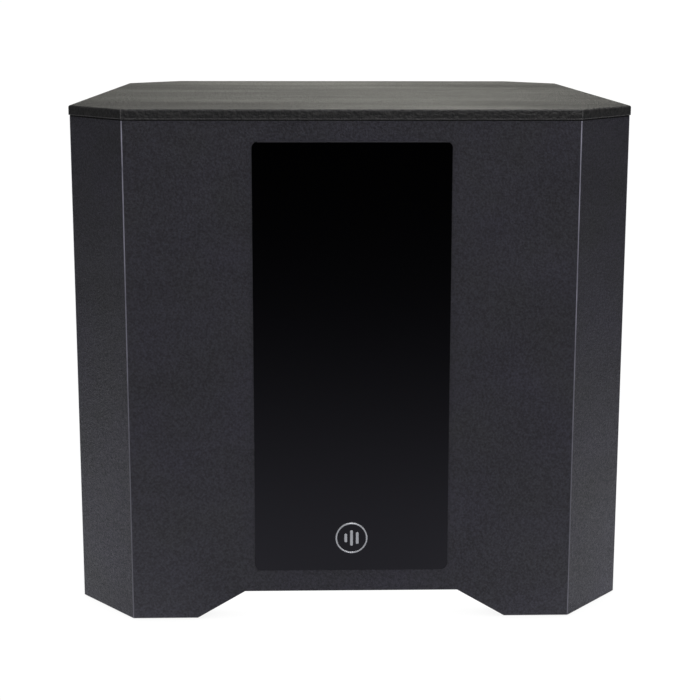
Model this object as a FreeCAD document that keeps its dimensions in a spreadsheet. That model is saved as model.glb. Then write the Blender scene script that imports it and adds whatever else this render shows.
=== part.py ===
import FreeCAD, Part
import math
import os
import Sketcher

# Down-firing subwoofer cabinet: an octagonal box of eight mitred boards with a gloss front panel,
# a woofer in the bottom board and an amplifier plate and a vent in the back.
# Frame: +Z up, z = 0 on the floor, the front faces -Y. The cabinet is drawn about its own middle
# and every piece is then moved by cabinet_y, so that the origin is under the middle of the whole
# object, knobs and heat sink included.

Vector = FreeCAD.Vector
Rotation = FreeCAD.Rotation

doc = FreeCAD.newDocument("subwoofer")
sheet = doc.addObject("Spreadsheet::Sheet", "dims")
doc.recompute()

SIZES = {
    # cabinet
    "width": 350, "corner": 37, "board": 15, "pads": 1, "body_top": 317, "lid": 6, "overhang": 0.8,
    "lid_edge": 1.2, "arch_height": 18.6, "arch_foot": 97.3, "arch_crown": 67.2,
    "floor_bottom": 30, "cleat": 15, "cleat_length": 200,
    # gloss front panel and badge
    "fascia_width": 121, "fascia_low": 32.5, "fascia_high": 303.7, "fascia_round": 4,
    "fascia_thick": 3, "fascia_recess": 2.2, "badge": 10, "badge_thick": 1, "badge_z": 54,
    # what stands under it and what lines it
    "foot_width": 11, "foot_length": 40, "wadding": 250, "wadding_thick": 12,
    # screws: radii of the hole a screw bites into, the hole it passes through, its shank and head
    "pilot": 1.75, "clearance": 2.3, "shank": 1.7, "screw_head": 3.8, "screw_length": 14,
    "screw_edge": 6,
    # woofer, radii about its axis and heights above the floor
    "cutout": 92, "frame_outer": 104, "frame_lip": 90, "gasket": 2, "steel": 1.5, "bolt_circle": 98,
    "roll_inner": 76, "roll_outer": 91, "rubber": 1, "shelf_inner": 56, "shelf_outer": 66,
    "shelf_z": 64, "crown_z": 82, "former_inner": 17.5, "former_wall": 0.5, "neck_z": 60,
    "cap_edge": 30, "cap_rise": 10, "paper": 1, "plate_thick": 5, "ring_thick": 18,
    "ring_outer": 50, "ring_inner": 24, "gap_outer": 19, "pole": 17, "pole_vent": 6,
    "coil_length": 18, "coil_layer": 0.6, "cloth": 0.8, "tag_width": 5, "tag_thick": 0.8,
    "strip_width": 20, "strip_depth": 6, "strip_tall": 6, "tag_tall": 8,
    # vent
    "vent_z": 262, "vent_bore": 24, "vent_wall": 2, "vent_flare": 9, "vent_collar": 32,
    "vent_flange": 38, "vent_lip": 3, "vent_length": 120,
    # amplifier plate and what it carries
    "amp_width": 200, "amp_tall": 160, "amp_z": 138, "amp_thick": 2, "foam": 1, "amp_lap": 10,
    "sink_x": -58, "sink_z": 141, "sink_width": 52, "sink_tall": 126, "sink_base": 4,
    "sink_depth": 14, "fin_thick": 2, "circuit_low": 110, "circuit_tall": 95,
    "circuit_width": 170, "circuit_thick": 1.6, "standoff": 14.4, "knob": 10, "knob_depth": 12.5,
    "knob_gap": 1.5, "shaft": 3, "bush": 3.5, "pot": 8.5, "pot_setback": 4,
    "volume_x": 68, "crossover_x": 22, "knob_z": 190, "post": 3, "can": 12.5, "can_length": 36,
    # sockets, switches and the mains parts, left to right along their rows
    "socket_x": 68, "socket_z": 149, "socket_pitch": 18, "shell": 4.15, "shell_bore": 3.5,
    "socket_barrel": 3.3, "socket_bore": 1.6, "socket_collar": 5, "socket_reach": 9,
    "phase_x": 22, "phase_z": 149, "slot_width": 4.5, "switch_depth": 12,
    "lamp_x": 47, "lamp_z": 149, "lamp": 2.5, "inlet_x": 70, "mains_z": 84, "inlet_width": 24.4,
    "inlet_tall": 16.4, "inlet_bevel": 4.7, "inlet_depth": 14, "inlet_wall": 1.2,
    "fuse_x": 38, "fuse": 2.55, "fuse_length": 20, "fuse_tube": 3.3, "fuse_body": 6.2,
    "voltage_x": 14, "rocker_x": -14, "rocker_width": 14.6, "rocker_tilt": 10,
    "switch_width": 19, "switch_tall": 27,
    # transformer on the left board
    "toroid_z": 112, "toroid_y": 40, "toroid_outer": 40, "toroid_inner": 14, "toroid_thick": 34,
    "toroid_round": 7, "clamp": 28, "clamp_thick": 1.5, "toroid_bolt": 2.5, "wire": 1.5,
}


class Size:
    """A length kept as a number and as the spreadsheet expression that gives it."""

    def __init__(self, value, text=None):
        self.value = value
        self.text = text if text else repr(float(value))

    def join(self, other, sign, value):
        return Size(value, "(%s %s %s)" % (self.text, sign, other.text))

    def __add__(self, other):
        other = size(other)
        return self.join(other, "+", self.value + other.value)

    def __sub__(self, other):
        other = size(other)
        return self.join(other, "-", self.value - other.value)

    def __mul__(self, other):
        other = size(other)
        return self.join(other, "*", self.value * other.value)

    def __truediv__(self, other):
        other = size(other)
        return self.join(other, "/", self.value / other.value)

    def __neg__(self):
        return Size(0) - self

    def __radd__(self, other):
        return size(other) + self

    def __rsub__(self, other):
        return size(other) - self

    def __rmul__(self, other):
        return size(other) * self


def size(number):
    return number if isinstance(number, Size) else Size(number)


def root(length):
    return Size(math.sqrt(length.value), "sqrt(%s)" % length.text)


class Dimensions:
    """Each cell of the sheet by its alias."""

    def __init__(self, cells):
        for row, (alias, value) in enumerate(cells.items(), start=1):
            sheet.set("A%d" % row, alias)
            sheet.set("B%d" % row, str(value))
            sheet.setAlias("B%d" % row, alias)
            setattr(self, alias, Size(value, "dims." + alias))


d = Dimensions(SIZES)
doc.recompute()

parts = []


def bind(thing, path, length):
    """Binds one property of a document object to the sheet."""
    thing.setExpression(path, size(length).text)


def place(thing, x=0, y=0, z=0, turn=None):
    """Puts a piece at x, y, z of the cabinet; turn is an axis and an angle in degrees."""
    if turn:
        thing.Placement = FreeCAD.Placement(Vector(0, 0, 0), Rotation(turn[0], turn[1]))
    bind(thing, "Placement.Base.x", x)
    bind(thing, "Placement.Base.y", size(y) + cabinet_y)
    bind(thing, "Placement.Base.z", z)
    return thing


def keep(thing):
    parts.append(thing)
    return thing


def new_body(label):
    """An empty body; piece() is the same for one that is written out."""
    body = doc.addObject("PartDesign::Body", label)
    body.Label = label
    return body


def piece(label):
    return keep(new_body(label))


NORMAL_SIGN = {"XY": 1, "YZ": 1, "XZ": -1}


def origin_feature(body, role):
    return next(item for item in body.Origin.OriginFeatures if item.Role == role)


def sketch_on(body, plane, at=0):
    """An empty sketch on an origin plane, moved along the plane's own axis to at."""
    sketch = body.newObject("Sketcher::SketchObject", "outline")
    sketch.AttachmentSupport = [(origin_feature(body, plane + "_Plane"), "")]
    sketch.MapMode = "FlatFace"
    bind(sketch, "AttachmentOffset.Base.z", size(at) * NORMAL_SIGN[plane])
    return sketch


def fix(sketch, kind, index, end, length):
    """Holds one coordinate of a point of the sketch; kind is DistanceX or DistanceY."""
    number = sketch.addConstraint(Sketcher.Constraint(kind, -1, 1, index, end, length.value))
    bind(sketch, "Constraints[%d]" % number, length)


def fix_point(sketch, index, end, x, y):
    fix(sketch, "DistanceX", index, end, x)
    fix(sketch, "DistanceY", index, end, y)


CENTRE = 3      # the centre of a circle or arc, as a sketch numbers its points


def circle(x, y, radius):
    return {"x": size(x), "y": size(y), "radius": size(radius)}


def box(x, y, width, tall):
    """A rectangle about x, y."""
    x, y, width, tall = size(x), size(y), size(width), size(tall)
    left, right = x - width / 2, x + width / 2
    low, high = y - tall / 2, y + tall / 2
    return [(left, low), (right, low), (right, high), (left, high)]


def draw_circle(sketch, ring):
    centre = Vector(ring["x"].value, ring["y"].value, 0)
    index = sketch.addGeometry(Part.Circle(centre, Vector(0, 0, 1), ring["radius"].value), False)
    fix_point(sketch, index, CENTRE, ring["x"], ring["y"])
    number = sketch.addConstraint(Sketcher.Constraint("Radius", index, ring["radius"].value))
    bind(sketch, "Constraints[%d]" % number, ring["radius"])


def fix_centre(sketch, index, start, end):
    """Sets the size of an arc whose ends are held by placing its centre across from its chord."""
    run, rise, bulge = end[0] - start[0], end[1] - start[1], end[2]
    chord = root(run * run + rise * rise)
    lift = (chord * chord / 4 - bulge * bulge) / (bulge * chord * 2)
    if abs(run.value) > abs(rise.value):
        fix(sketch, "DistanceY", index, CENTRE, (start[1] + end[1]) / 2 + run * lift)
    else:
        fix(sketch, "DistanceX", index, CENTRE, (start[0] + end[0]) / 2 - rise * lift)


def draw_loop(sketch, points):
    """A closed outline. A point (x, y, bulge) is reached by an arc whose middle stands off the
    chord by bulge, to the right of the way there, or to the left if bulge is negative."""
    points = [[size(part) for part in point] for point in points]
    runs = list(zip(points[-1:] + points[:-1], points))
    first = sketch.GeometryCount
    for start, end in runs:
        a = Vector(start[0].value, start[1].value, 0)
        b = Vector(end[0].value, end[1].value, 0)
        if len(end) == 2:
            sketch.addGeometry(Part.LineSegment(a, b), False)
            continue
        right = Vector(b.y - a.y, a.x - b.x, 0).normalize()
        middle = (a + b) * 0.5 + right * end[2].value
        sketch.addGeometry(Part.Arc(a, middle, b), False)

    def ends(point):
        """Which ends of a run are its start and finish: a sketch keeps arcs anticlockwise."""
        return (2, 1) if len(point) == 3 and point[2].value < 0 else (1, 2)

    for number, (start, end) in enumerate(runs):
        index = first + number
        after = (number + 1) % len(runs)
        finish = ends(end)[1]
        begin = ends(runs[after][1])[0]
        sketch.addConstraint(Sketcher.Constraint("Coincident", index, finish, first + after, begin))
        fix_point(sketch, index, finish, end[0], end[1])
        if len(end) == 3:
            fix_centre(sketch, index, start, end)


def dome_bulge(radius, rise):
    """The bulge of an outline from a ball-shaped dome's edge to its top on the axis."""
    radius, rise = size(radius), size(rise)
    ball = (radius * radius + rise * rise) / (rise * 2)
    return ball - root(ball * ball - (radius * radius + rise * rise) / 4)


def draw(sketch, loops):
    for loop in loops:
        if isinstance(loop, dict):
            draw_circle(sketch, loop)
        else:
            draw_loop(sketch, loop)


def extrude(kind, body, plane, loops, low, high):
    low, high = size(low), size(high)
    sketch = sketch_on(body, plane, low if NORMAL_SIGN[plane] > 0 else high)
    draw(sketch, loops)
    feature = body.newObject("PartDesign::" + kind, kind.lower())
    feature.Profile = sketch
    bind(feature, "Length", high - low)
    return feature


def pad(body, plane, loops, low, high):
    """Adds the outline between low and high on the plane's axis."""
    return extrude("Pad", body, plane, loops, low, high)


def cut(body, plane, loops, low, high):
    """Takes the outline away between low and high on the plane's axis."""
    doc.recompute()
    before = body.Shape.Volume
    feature = extrude("Pocket", body, plane, loops, low, high)
    feature.Reversed = True
    doc.recompute()
    if body.Shape.Volume > before - 1e-3:
        raise ValueError("a pocket of %s cuts nothing" % body.Label)
    return feature


def turned(body, kind, loops):
    """Turns an outline of radius and height once round the body's Z axis."""
    sketch = sketch_on(body, "XZ")
    draw(sketch, loops)
    feature = body.newObject("PartDesign::" + kind, kind.lower())
    feature.Profile = sketch
    feature.ReferenceAxis = (sketch, ["V_Axis"])
    feature.Angle = 360
    return feature


def revolve(body, points):
    return turned(body, "Revolution", [points])


def around(body, feature, count):
    """Repeats a feature evenly round the body's Z axis."""
    pattern = body.newObject("PartDesign::PolarPattern", "ring")
    pattern.Originals = [feature]
    pattern.Axis = (origin_feature(body, "Z_Axis"), [""])
    pattern.Angle = 360
    pattern.Occurrences = count
    body.Tip = pattern
    return pattern


def soften(body, radius, wanted):
    """Rounds the edges of the body's last feature for which wanted(edge) is true."""
    doc.recompute()
    base = body.Tip
    names = ["Edge%d" % (n + 1) for n, edge in enumerate(base.Shape.Edges) if wanted(edge)]
    fillet = body.newObject("PartDesign::Fillet", "fillet")
    fillet.Base = (base, names)
    bind(fillet, "Radius", radius)
    return fillet


def straight_along(axis):
    """Picks the straight edges that run along X, Y or Z."""
    def wanted(edge):
        if not isinstance(edge.Curve, Part.Line):
            return False
        way = edge.Curve.Direction
        return abs(abs(way[axis]) - 1) < 1e-6
    return wanted


def at_height(axis, value):
    """Picks the edges that lie wholly at one height of X, Y or Z."""
    def wanted(edge):
        box_of = edge.BoundBox
        low = (box_of.XMin, box_of.YMin, box_of.ZMin)[axis]
        high = (box_of.XMax, box_of.YMax, box_of.ZMax)[axis]
        return abs(low - value) < 1e-4 and abs(high - value) < 1e-4
    return wanted


def round_edge(radius):
    """Picks the round edges of one radius."""
    def wanted(edge):
        return isinstance(edge.Curve, Part.Circle) and abs(edge.Curve.Radius - radius) < 1e-4
    return wanted


def copies(label, master, places):
    """One node of several equal solids: links to a master at (x, y, z, angle about Z)."""
    links = []
    for x, y, z, angle in places:
        link = doc.addObject("App::Link", label + "_copy")
        link.LinkedObject = master
        link.Placement = FreeCAD.Placement(Vector(0, 0, 0), Rotation(Vector(0, 0, 1), angle))
        bind(link, "Placement.Base.x", x)
        bind(link, "Placement.Base.y", y)
        bind(link, "Placement.Base.z", z)
        links.append(link)
    group = doc.addObject("Part::Compound", label)
    group.Label = label
    group.Links = links
    return keep(group)


X, Y, Z = Vector(1, 0, 0), Vector(0, 1, 0), Vector(0, 0, 1)
TO_BACK = (X, -90)      # turns a body's own Z to +Y, its own Y to -Z
TO_FRONT = (X, 90)      # turns a body's own Z to -Y, its own Y to +Z

WOOFER_SCREWS = 8
TAN_MITER = Size(math.tan(math.radians(22.5)), "tan(22.5)")

half = d.width / 2
flat = half - d.corner                      # half the width of a straight outer face
miter = d.board * TAN_MITER
inner = half - d.board
inner_flat = flat - miter
rear = half                                 # the outer face of the back board
plate_inner = rear + d.foam
plate_outer = plate_inner + d.amp_thick
knob_end = plate_outer + d.knob_gap + d.knob_depth
front_end = half + d.fascia_thick - d.fascia_recess + d.badge_thick
cabinet_y = (front_end - knob_end) / 2


def octagon(reach, straight):
    """An eight-cornered outline: reach to each flat side, straight is half a side's length."""
    return [(straight, -reach), (reach, -straight), (reach, straight), (straight, reach),
            (-straight, reach), (-reach, straight), (-reach, -straight), (-straight, -reach)]


# ---------------------------------------------------------------- cabinet

def wall_board(label, angle):
    """One straight board of the shell with the open arch in its foot, drawn at the front."""
    board = piece(label)
    pad(board, "XY", [[(-flat, -half), (flat, -half), (inner_flat, -inner), (-inner_flat, -inner)]],
        d.pads, d.body_top)
    arch = [(-d.arch_foot, d.pads - 1), (d.arch_foot, d.pads - 1), (d.arch_foot, d.pads),
            (d.arch_crown, d.arch_height), (-d.arch_crown, d.arch_height), (-d.arch_foot, d.pads)]
    cut(board, "XZ", [arch], -half - 1, -inner + 1)
    return place(board, turn=(Z, angle))


def corner_board(label, angle):
    """One narrow 45 degree board, drawn at the front right."""
    board = piece(label)
    pad(board, "XY", [[(flat, -half), (half, -flat), (inner, -inner_flat), (inner_flat, -inner)]],
        d.pads, d.body_top)
    return place(board, turn=(Z, angle))


front_panel = wall_board("front_panel", 0)
recess_face = d.fascia_recess - half
middle_z = (d.fascia_low + d.fascia_high) / 2
cut(front_panel, "XZ", [box(0, middle_z, d.fascia_width, d.fascia_high - d.fascia_low)],
    -half - 1, recess_face)
soften(front_panel, d.fascia_round,
       lambda edge: straight_along(1)(edge) and abs(edge.Length - d.fascia_recess.value) < 1e-4)

wall_board("right_panel", 90)
back_panel = wall_board("back_panel", 180)
left_panel = wall_board("left_panel", 270)
corner_board("corner_panel_front_right", 0)
corner_board("corner_panel_back_right", 90)
corner_board("corner_panel_back_left", 180)
corner_board("corner_panel_front_left", 270)

# The back board is drawn at the front and turned half round, so its holes are drawn mirrored.
window_width = d.amp_width - d.amp_lap * 2
window_tall = d.amp_tall - d.amp_lap * 2
cut(back_panel, "XZ", [box(0, d.amp_z, window_width, window_tall)], -half - 1, -inner + 1)
cut(back_panel, "XZ", [circle(0, d.vent_z, d.vent_collar + 0.2)], -half - 1, -inner + 1)
screw_x = d.amp_width / 2 - d.screw_edge
screw_z = d.amp_tall / 2 - d.screw_edge
amp_screw_places = [(side * screw_x, d.amp_z + up * screw_z) for side in (-1, 1) for up in (-1, 0, 1)]
amp_screw_places += [(side * screw_x / 3, d.amp_z + up * screw_z) for side in (-1, 1) for up in (-1, 1)]
cut(back_panel, "XZ", [circle(-x, z, d.pilot) for x, z in amp_screw_places], -half - 1, -inner - 1)

lid = piece("top_lid")
lid_reach = half + d.overhang
lid_flat = flat + d.overhang * TAN_MITER
pad(lid, "XY", [octagon(lid_reach, lid_flat)], d.body_top, d.body_top + d.lid)
lid_top = d.body_top + d.lid
soften(lid, d.lid_edge, at_height(2, lid_top.value))
place(lid)

top_board = piece("top_board")
pad(top_board, "XY", [octagon(inner, inner_flat)], d.body_top - d.board, d.body_top)
place(top_board)

bottom_board = piece("bottom_board")
floor_top = d.floor_bottom + d.board
pad(bottom_board, "XY", [octagon(inner, inner_flat), circle(0, 0, d.cutout)], d.floor_bottom, floor_top)
hole = cut(bottom_board, "XY", [circle(d.bolt_circle, 0, d.pilot)], d.floor_bottom - 1, floor_top - 2)
around(bottom_board, hole, WOOFER_SCREWS)
place(bottom_board)

cleats = piece("corner_cleats")
cleat_reach = inner - d.cleat / 2
bar = pad(cleats, "XY", [box(0, -cleat_reach, d.cleat_length, d.cleat)], floor_top, floor_top + d.cleat)
around(cleats, bar, 4)
place(cleats)

fascia = piece("front_fascia")
fascia_face = recess_face - d.fascia_thick
pad(fascia, "XZ", [box(0, middle_z, d.fascia_width, d.fascia_high - d.fascia_low)],
    fascia_face, recess_face)
soften(fascia, d.fascia_round, straight_along(1))
place(fascia)

badge = piece("badge")
pad(badge, "XZ", [circle(0, d.badge_z, d.badge)], fascia_face - d.badge_thick, fascia_face)
place(badge)

pads = piece("foot_pads")
pad_reach = (half + flat) / Size(math.sqrt(2), "sqrt(2)") - d.board / 2
foot = pad(pads, "XY", [box(pad_reach, 0, d.foot_width, d.foot_length)], 0, d.pads)
around(pads, foot, 4)
place(pads, turn=(Z, 45))

wadding = piece("damping_wadding")
wadding_top = d.body_top - d.board
pad(wadding, "XY", [box(0, 0, d.wadding, d.wadding)], wadding_top - d.wadding_thick, wadding_top)
soften(wadding, 3, lambda edge: not at_height(2, wadding_top.value)(edge))
place(wadding)

# ---------------------------------------------------------------- woofer, facing down

frame_top = d.floor_bottom - d.gasket
frame_bottom = frame_top - d.steel
shelf_top = d.shelf_z + d.steel
crown_top = d.crown_z + d.steel

gasket = piece("driver_gasket")
pad(gasket, "XY", [circle(0, 0, d.frame_outer - 1), circle(0, 0, d.cutout)], frame_top, d.floor_bottom)
hole = cut(gasket, "XY", [circle(d.bolt_circle, 0, d.clearance)], frame_top - 1, d.floor_bottom + 1)
around(gasket, hole, WOOFER_SCREWS)
place(gasket)

basket = piece("driver_basket")
revolve(basket, [(d.frame_outer, frame_bottom), (d.frame_outer, frame_top),
                 (d.frame_lip + d.steel, frame_top), (d.shelf_outer + 1, shelf_top),
                 (d.shelf_inner + d.steel, shelf_top), (d.shelf_inner + d.steel, crown_top),
                 (d.gap_outer, crown_top), (d.gap_outer, d.crown_z), (d.shelf_inner, d.crown_z),
                 (d.shelf_inner, d.shelf_z),
                 (d.shelf_outer, d.shelf_z), (d.frame_lip, frame_bottom)])
window = [(-25, 35), (25, 35), (17, 60), (-17, 60)]
spoke_gap = cut(basket, "XZ", [window], -d.cutout, -d.shelf_outer + 4)
around(basket, spoke_gap, 6)
hole = cut(basket, "XY", [circle(d.bolt_circle, 0, d.clearance)], frame_bottom - 1, frame_top + 1)
around(basket, hole, WOOFER_SCREWS)
place(basket)

roll = piece("surround")
roll_rise = (d.roll_outer - d.roll_inner) / 2
lip = frame_bottom - d.rubber
revolve(roll, [(d.roll_inner - 3, lip), (d.roll_inner, lip), (d.roll_outer, lip, roll_rise),
               (d.roll_outer + 2.5, lip), (d.roll_outer + 2.5, frame_bottom),
               (d.roll_outer - d.rubber, frame_bottom),
               (d.roll_inner + d.rubber, frame_bottom, -roll_rise), (d.roll_inner - 3, frame_bottom)])
place(roll)

paper_cone = piece("cone")
former_outer = d.former_inner + d.former_wall
cone_edge = d.roll_inner - 1
cone_foot = cone_edge - 3                   # where the flat rim turns up into the cone
revolve(paper_cone, [(cone_edge, frame_bottom), (cone_edge, frame_bottom + d.paper),
                     (cone_foot, frame_bottom + d.paper), (former_outer, d.neck_z),
                     (former_outer, d.neck_z - d.paper), (cone_foot, frame_bottom)])
place(paper_cone)

# The dust cap's rim sits just under the cone where the cone has the cap's radius.
slope = (d.neck_z - d.paper - frame_bottom) / (cone_foot - former_outer)
cap_z = frame_bottom + slope * (cone_foot - d.cap_edge) - 0.3
cap = piece("dust_cap")
inside_rise = d.cap_rise - d.paper
inside_edge = d.cap_edge - d.paper
revolve(cap, [(0, cap_z - d.cap_rise), (d.cap_edge, cap_z, dome_bulge(d.cap_edge, d.cap_rise)),
              (inside_edge, cap_z), (0, cap_z - inside_rise, -dome_bulge(inside_edge, inside_rise))])
place(cap)

coil_middle = crown_top + d.plate_thick / 2
coil_low = coil_middle - d.coil_length / 2
coil_high = coil_middle + d.coil_length / 2

former = piece("voice_coil_former")
pad(former, "XY", [circle(0, 0, former_outer), circle(0, 0, d.former_inner)], d.neck_z - 4, coil_high)
place(former)

winding = piece("voice_coil_winding")
coil_rings = [circle(0, 0, former_outer + d.coil_layer), circle(0, 0, former_outer)]
pad(winding, "XY", coil_rings, coil_low, coil_high)
place(winding)

# Corrugated cloth ring between the basket's shelf and the former: waves that bulge up and down in
# turn, between a flat collar round the former and a flat rim on the shelf.
spider = piece("spider")
WAVES = 6
WAVE_RISE = 1.2
collar = former_outer + 2
wave = (d.shelf_inner - 2 - collar) / WAVES
under_shelf = d.shelf_z - d.cloth
upper = [(former_outer, d.shelf_z), (collar, d.shelf_z)]
upper += [(collar + wave * (n + 1), d.shelf_z, WAVE_RISE if n % 2 else -WAVE_RISE) for n in range(WAVES)]
upper += [(d.shelf_outer - 1, d.shelf_z), (d.shelf_outer - 1, under_shelf)]
lower = [(collar + wave * WAVES, under_shelf)]
lower += [(collar + wave * n, under_shelf, -WAVE_RISE if n % 2 else WAVE_RISE)
          for n in reversed(range(WAVES))]
lower += [(former_outer, under_shelf)]
revolve(spider, upper + lower)
place(spider)

plate_high = crown_top + d.plate_thick
ring_high = plate_high + d.ring_thick

front_iron = piece("magnet_top_plate")
pad(front_iron, "XY", [circle(0, 0, d.ring_outer - 5), circle(0, 0, d.gap_outer)], crown_top, plate_high)
place(front_iron)

magnet = piece("magnet_ring")
pad(magnet, "XY", [circle(0, 0, d.ring_outer), circle(0, 0, d.ring_inner)], plate_high, ring_high)
soften(magnet, 1, round_edge(d.ring_outer.value))
place(magnet)

yoke = piece("pole_yoke")
back_iron = d.ring_outer - 3
yoke_high = ring_high + d.plate_thick + 1
revolve(yoke, [(d.pole_vent, crown_top), (d.pole, crown_top), (d.pole, ring_high), (back_iron, ring_high),
               (back_iron, yoke_high - 2), (back_iron - 2, yoke_high), (d.pole_vent, yoke_high)])
place(yoke)

# A two-tag terminal strip standing on the basket's shelf, towards the back of the cabinet.
tags = piece("driver_terminals")
tag_y = d.shelf_inner + d.steel + d.strip_depth / 2 + 1
tag_side = Size(6)
strip_top = shelf_top + d.strip_tall
tag_top = strip_top + d.tag_tall
pad(tags, "XY", [box(0, tag_y, d.strip_width, d.strip_depth)], shelf_top, strip_top)
pad(tags, "XY", [box(side * tag_side, tag_y, d.tag_width, d.tag_thick) for side in (-1, 1)],
    strip_top, tag_top)
place(tags)

# A pan-headed screw with a slot, head down and thread up.
screw = new_body("driver_screw")
head = Size(2.4)
revolve(screw, [(0, -head), (d.screw_head - 2.2, -head), (d.screw_head, -head / 3), (d.screw_head, 0),
                (d.shank, 0), (d.shank, d.screw_length - 2), (0, d.screw_length)])
cut(screw, "XY", [box(0, 0, d.shank * 2, 0.9)], -head - 1, -head / 2)


def on_bolt_circle(angle):
    """The X and Y of the woofer's screw at so many degrees."""
    across = Size(math.cos(math.radians(angle)), "cos(%d)" % angle)
    along = Size(math.sin(math.radians(angle)), "sin(%d)" % angle)
    return d.bolt_circle * across, d.bolt_circle * along


screw_angles = [360 // WOOFER_SCREWS * n for n in range(WOOFER_SCREWS)]
driver_screws = copies("driver_screws", screw,
                       [(*on_bolt_circle(angle), frame_bottom, angle) for angle in screw_angles])
place(driver_screws)

# ---------------------------------------------------------------- vent

# Drawn about its own Z from the outside face inwards: flange, flared mouth, then a straight tube.
vent = piece("port_tube")
tube_outer = d.vent_bore + d.vent_wall
quarter_bulge = 1 - math.sqrt(0.5)          # a quarter circle's bulge, for a radius of 1
collar_end = d.vent_lip + d.vent_flare
revolve(vent, [(d.vent_bore + d.vent_flare, 0, d.vent_flare * quarter_bulge), (d.vent_flange - 1, 0),
               (d.vent_flange, 1), (d.vent_flange, d.vent_lip), (d.vent_collar, d.vent_lip),
               (d.vent_collar, collar_end), (tube_outer, collar_end + 6),
               (tube_outer, d.vent_length), (d.vent_bore, d.vent_length), (d.vent_bore, d.vent_flare)])
place(vent, y=rear + d.vent_lip, z=d.vent_z, turn=TO_FRONT)

# ---------------------------------------------------------------- amplifier plate

amp_gasket = piece("amp_gasket")
pad(amp_gasket, "XZ", [box(0, d.amp_z, d.amp_width - 1, d.amp_tall - 1),
                       box(0, d.amp_z, window_width, window_tall)], rear, plate_inner)
screw_holes = [circle(x, z, d.clearance) for x, z in amp_screw_places]
cut(amp_gasket, "XZ", screw_holes, rear - 1, plate_inner + 1)
place(amp_gasket)

socket_rows = [d.socket_z + side * d.socket_pitch / 2 for side in (-1, 1)]
amp_plate = piece("amp_plate")
pad(amp_plate, "XZ", [box(0, d.amp_z, d.amp_width, d.amp_tall)], plate_inner, plate_outer)
soften(amp_plate, 4, straight_along(1))
# Every hole is HOLE_FIT clear of what passes through it, on each side.
HOLE_FIT = 0.2
inlet_outer_width = d.inlet_width + d.inlet_wall * 2
inlet_outer_tall = d.inlet_tall + d.inlet_wall * 2 + 1
holes = screw_holes + [circle(x, d.knob_z, d.bush + HOLE_FIT) for x in (d.volume_x, d.crossover_x)]
holes += [circle(d.socket_x, z, d.socket_collar + HOLE_FIT) for z in socket_rows]
holes += [circle(d.lamp_x, d.lamp_z, d.lamp + HOLE_FIT / 2),
          circle(d.fuse_x, d.mains_z, d.fuse_body + HOLE_FIT),
          box(d.phase_x, d.phase_z, 10, 6),
          box(d.voltage_x, d.mains_z, 17, 9),
          box(d.inlet_x, d.mains_z, inlet_outer_width + HOLE_FIT * 2, inlet_outer_tall + HOLE_FIT * 2),
          box(d.rocker_x, d.mains_z, d.switch_width + HOLE_FIT * 2, d.switch_tall + HOLE_FIT * 2)]
cut(amp_plate, "XZ", holes, plate_inner - 1, plate_outer + 1)
place(amp_plate)

# A dome-headed screw with a cross recess.
amp_screw = new_body("amp_screw")
amp_head = d.screw_head - 0.2
recess = d.shank * 2 - 0.2
revolve(amp_screw, [(0, 2.2), (1.2, 2.2), (amp_head, 1), (amp_head, 0), (d.shank, 0),
                    (d.shank, 2 - d.screw_length), (0, -d.screw_length)])
cut(amp_screw, "XY", [box(0, 0, recess, 0.9)], 1.1, 3)
cut(amp_screw, "XY", [box(0, 0, 0.9, recess)], 1.1, 3)
amp_screws = copies("amp_screws", amp_screw, [(x, -z, 0, 0) for x, z in amp_screw_places])
place(amp_screws, y=plate_outer, turn=TO_BACK)

sink = piece("heatsink")
sink_face = plate_outer + d.sink_base
pad(sink, "XZ", [box(d.sink_x, d.sink_z, d.sink_width, d.sink_tall)], plate_outer, sink_face)
FINS = 9
fin_span = d.sink_width - d.fin_thick       # from the first fin's middle to the last one's
fin = pad(sink, "XZ", [box(d.sink_x - fin_span / 2, d.sink_z, d.fin_thick, d.sink_tall)],
          sink_face, plate_outer + d.sink_depth)
row = sink.newObject("PartDesign::LinearPattern", "fins")
row.Originals = [fin]
row.Direction = (origin_feature(sink, "X_Axis"), [""])
bind(row, "Length", fin_span)
row.Occurrences = FINS
sink.Tip = row
place(sink)

circuit = piece("circuit_board")
circuit_outer = plate_inner - d.standoff
circuit_inner = circuit_outer - d.circuit_thick
circuit_z = d.circuit_low + d.circuit_tall / 2
post_x = d.circuit_width / 2 - d.post * 2
post_z = d.circuit_tall / 2 - d.post * 2
post_places = [(side * post_x, circuit_z + up * post_z) for side in (-1, 1) for up in (-1, 1)]
pad(circuit, "XZ", [box(0, circuit_z, d.circuit_width, d.circuit_tall)], circuit_inner, circuit_outer)
chips = [box(-60, 150, 14, 18), box(-30, 150, 10, 24), box(-60, 178, 24, 8), box(60, 150, 12, 12)]
pad(circuit, "XZ", chips, circuit_inner - 5, circuit_inner)
place(circuit)

posts = piece("board_standoffs")
pad(posts, "XZ", [circle(x, z, d.post) for x, z in post_places], circuit_outer, plate_inner)
place(posts)

cans = piece("filter_capacitors")
can_end = circuit_inner - d.can_length
pad(cans, "XZ", [circle(x, 132, d.can) for x in (5, 34)], can_end, circuit_inner)
soften(cans, 1.5, at_height(1, can_end.value))
place(cans)


# Potentiometers: a can on the circuit board, a threaded bush through the plate, a turning shaft
# and a fluted knob. Each is drawn about its own Z, which points out of the back, with 0 on the
# plate's outer face.
SHAFT_FIT = 0.05
can_back = -(d.standoff + d.amp_thick)
can_front = -(d.pot_setback + 1)


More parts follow.
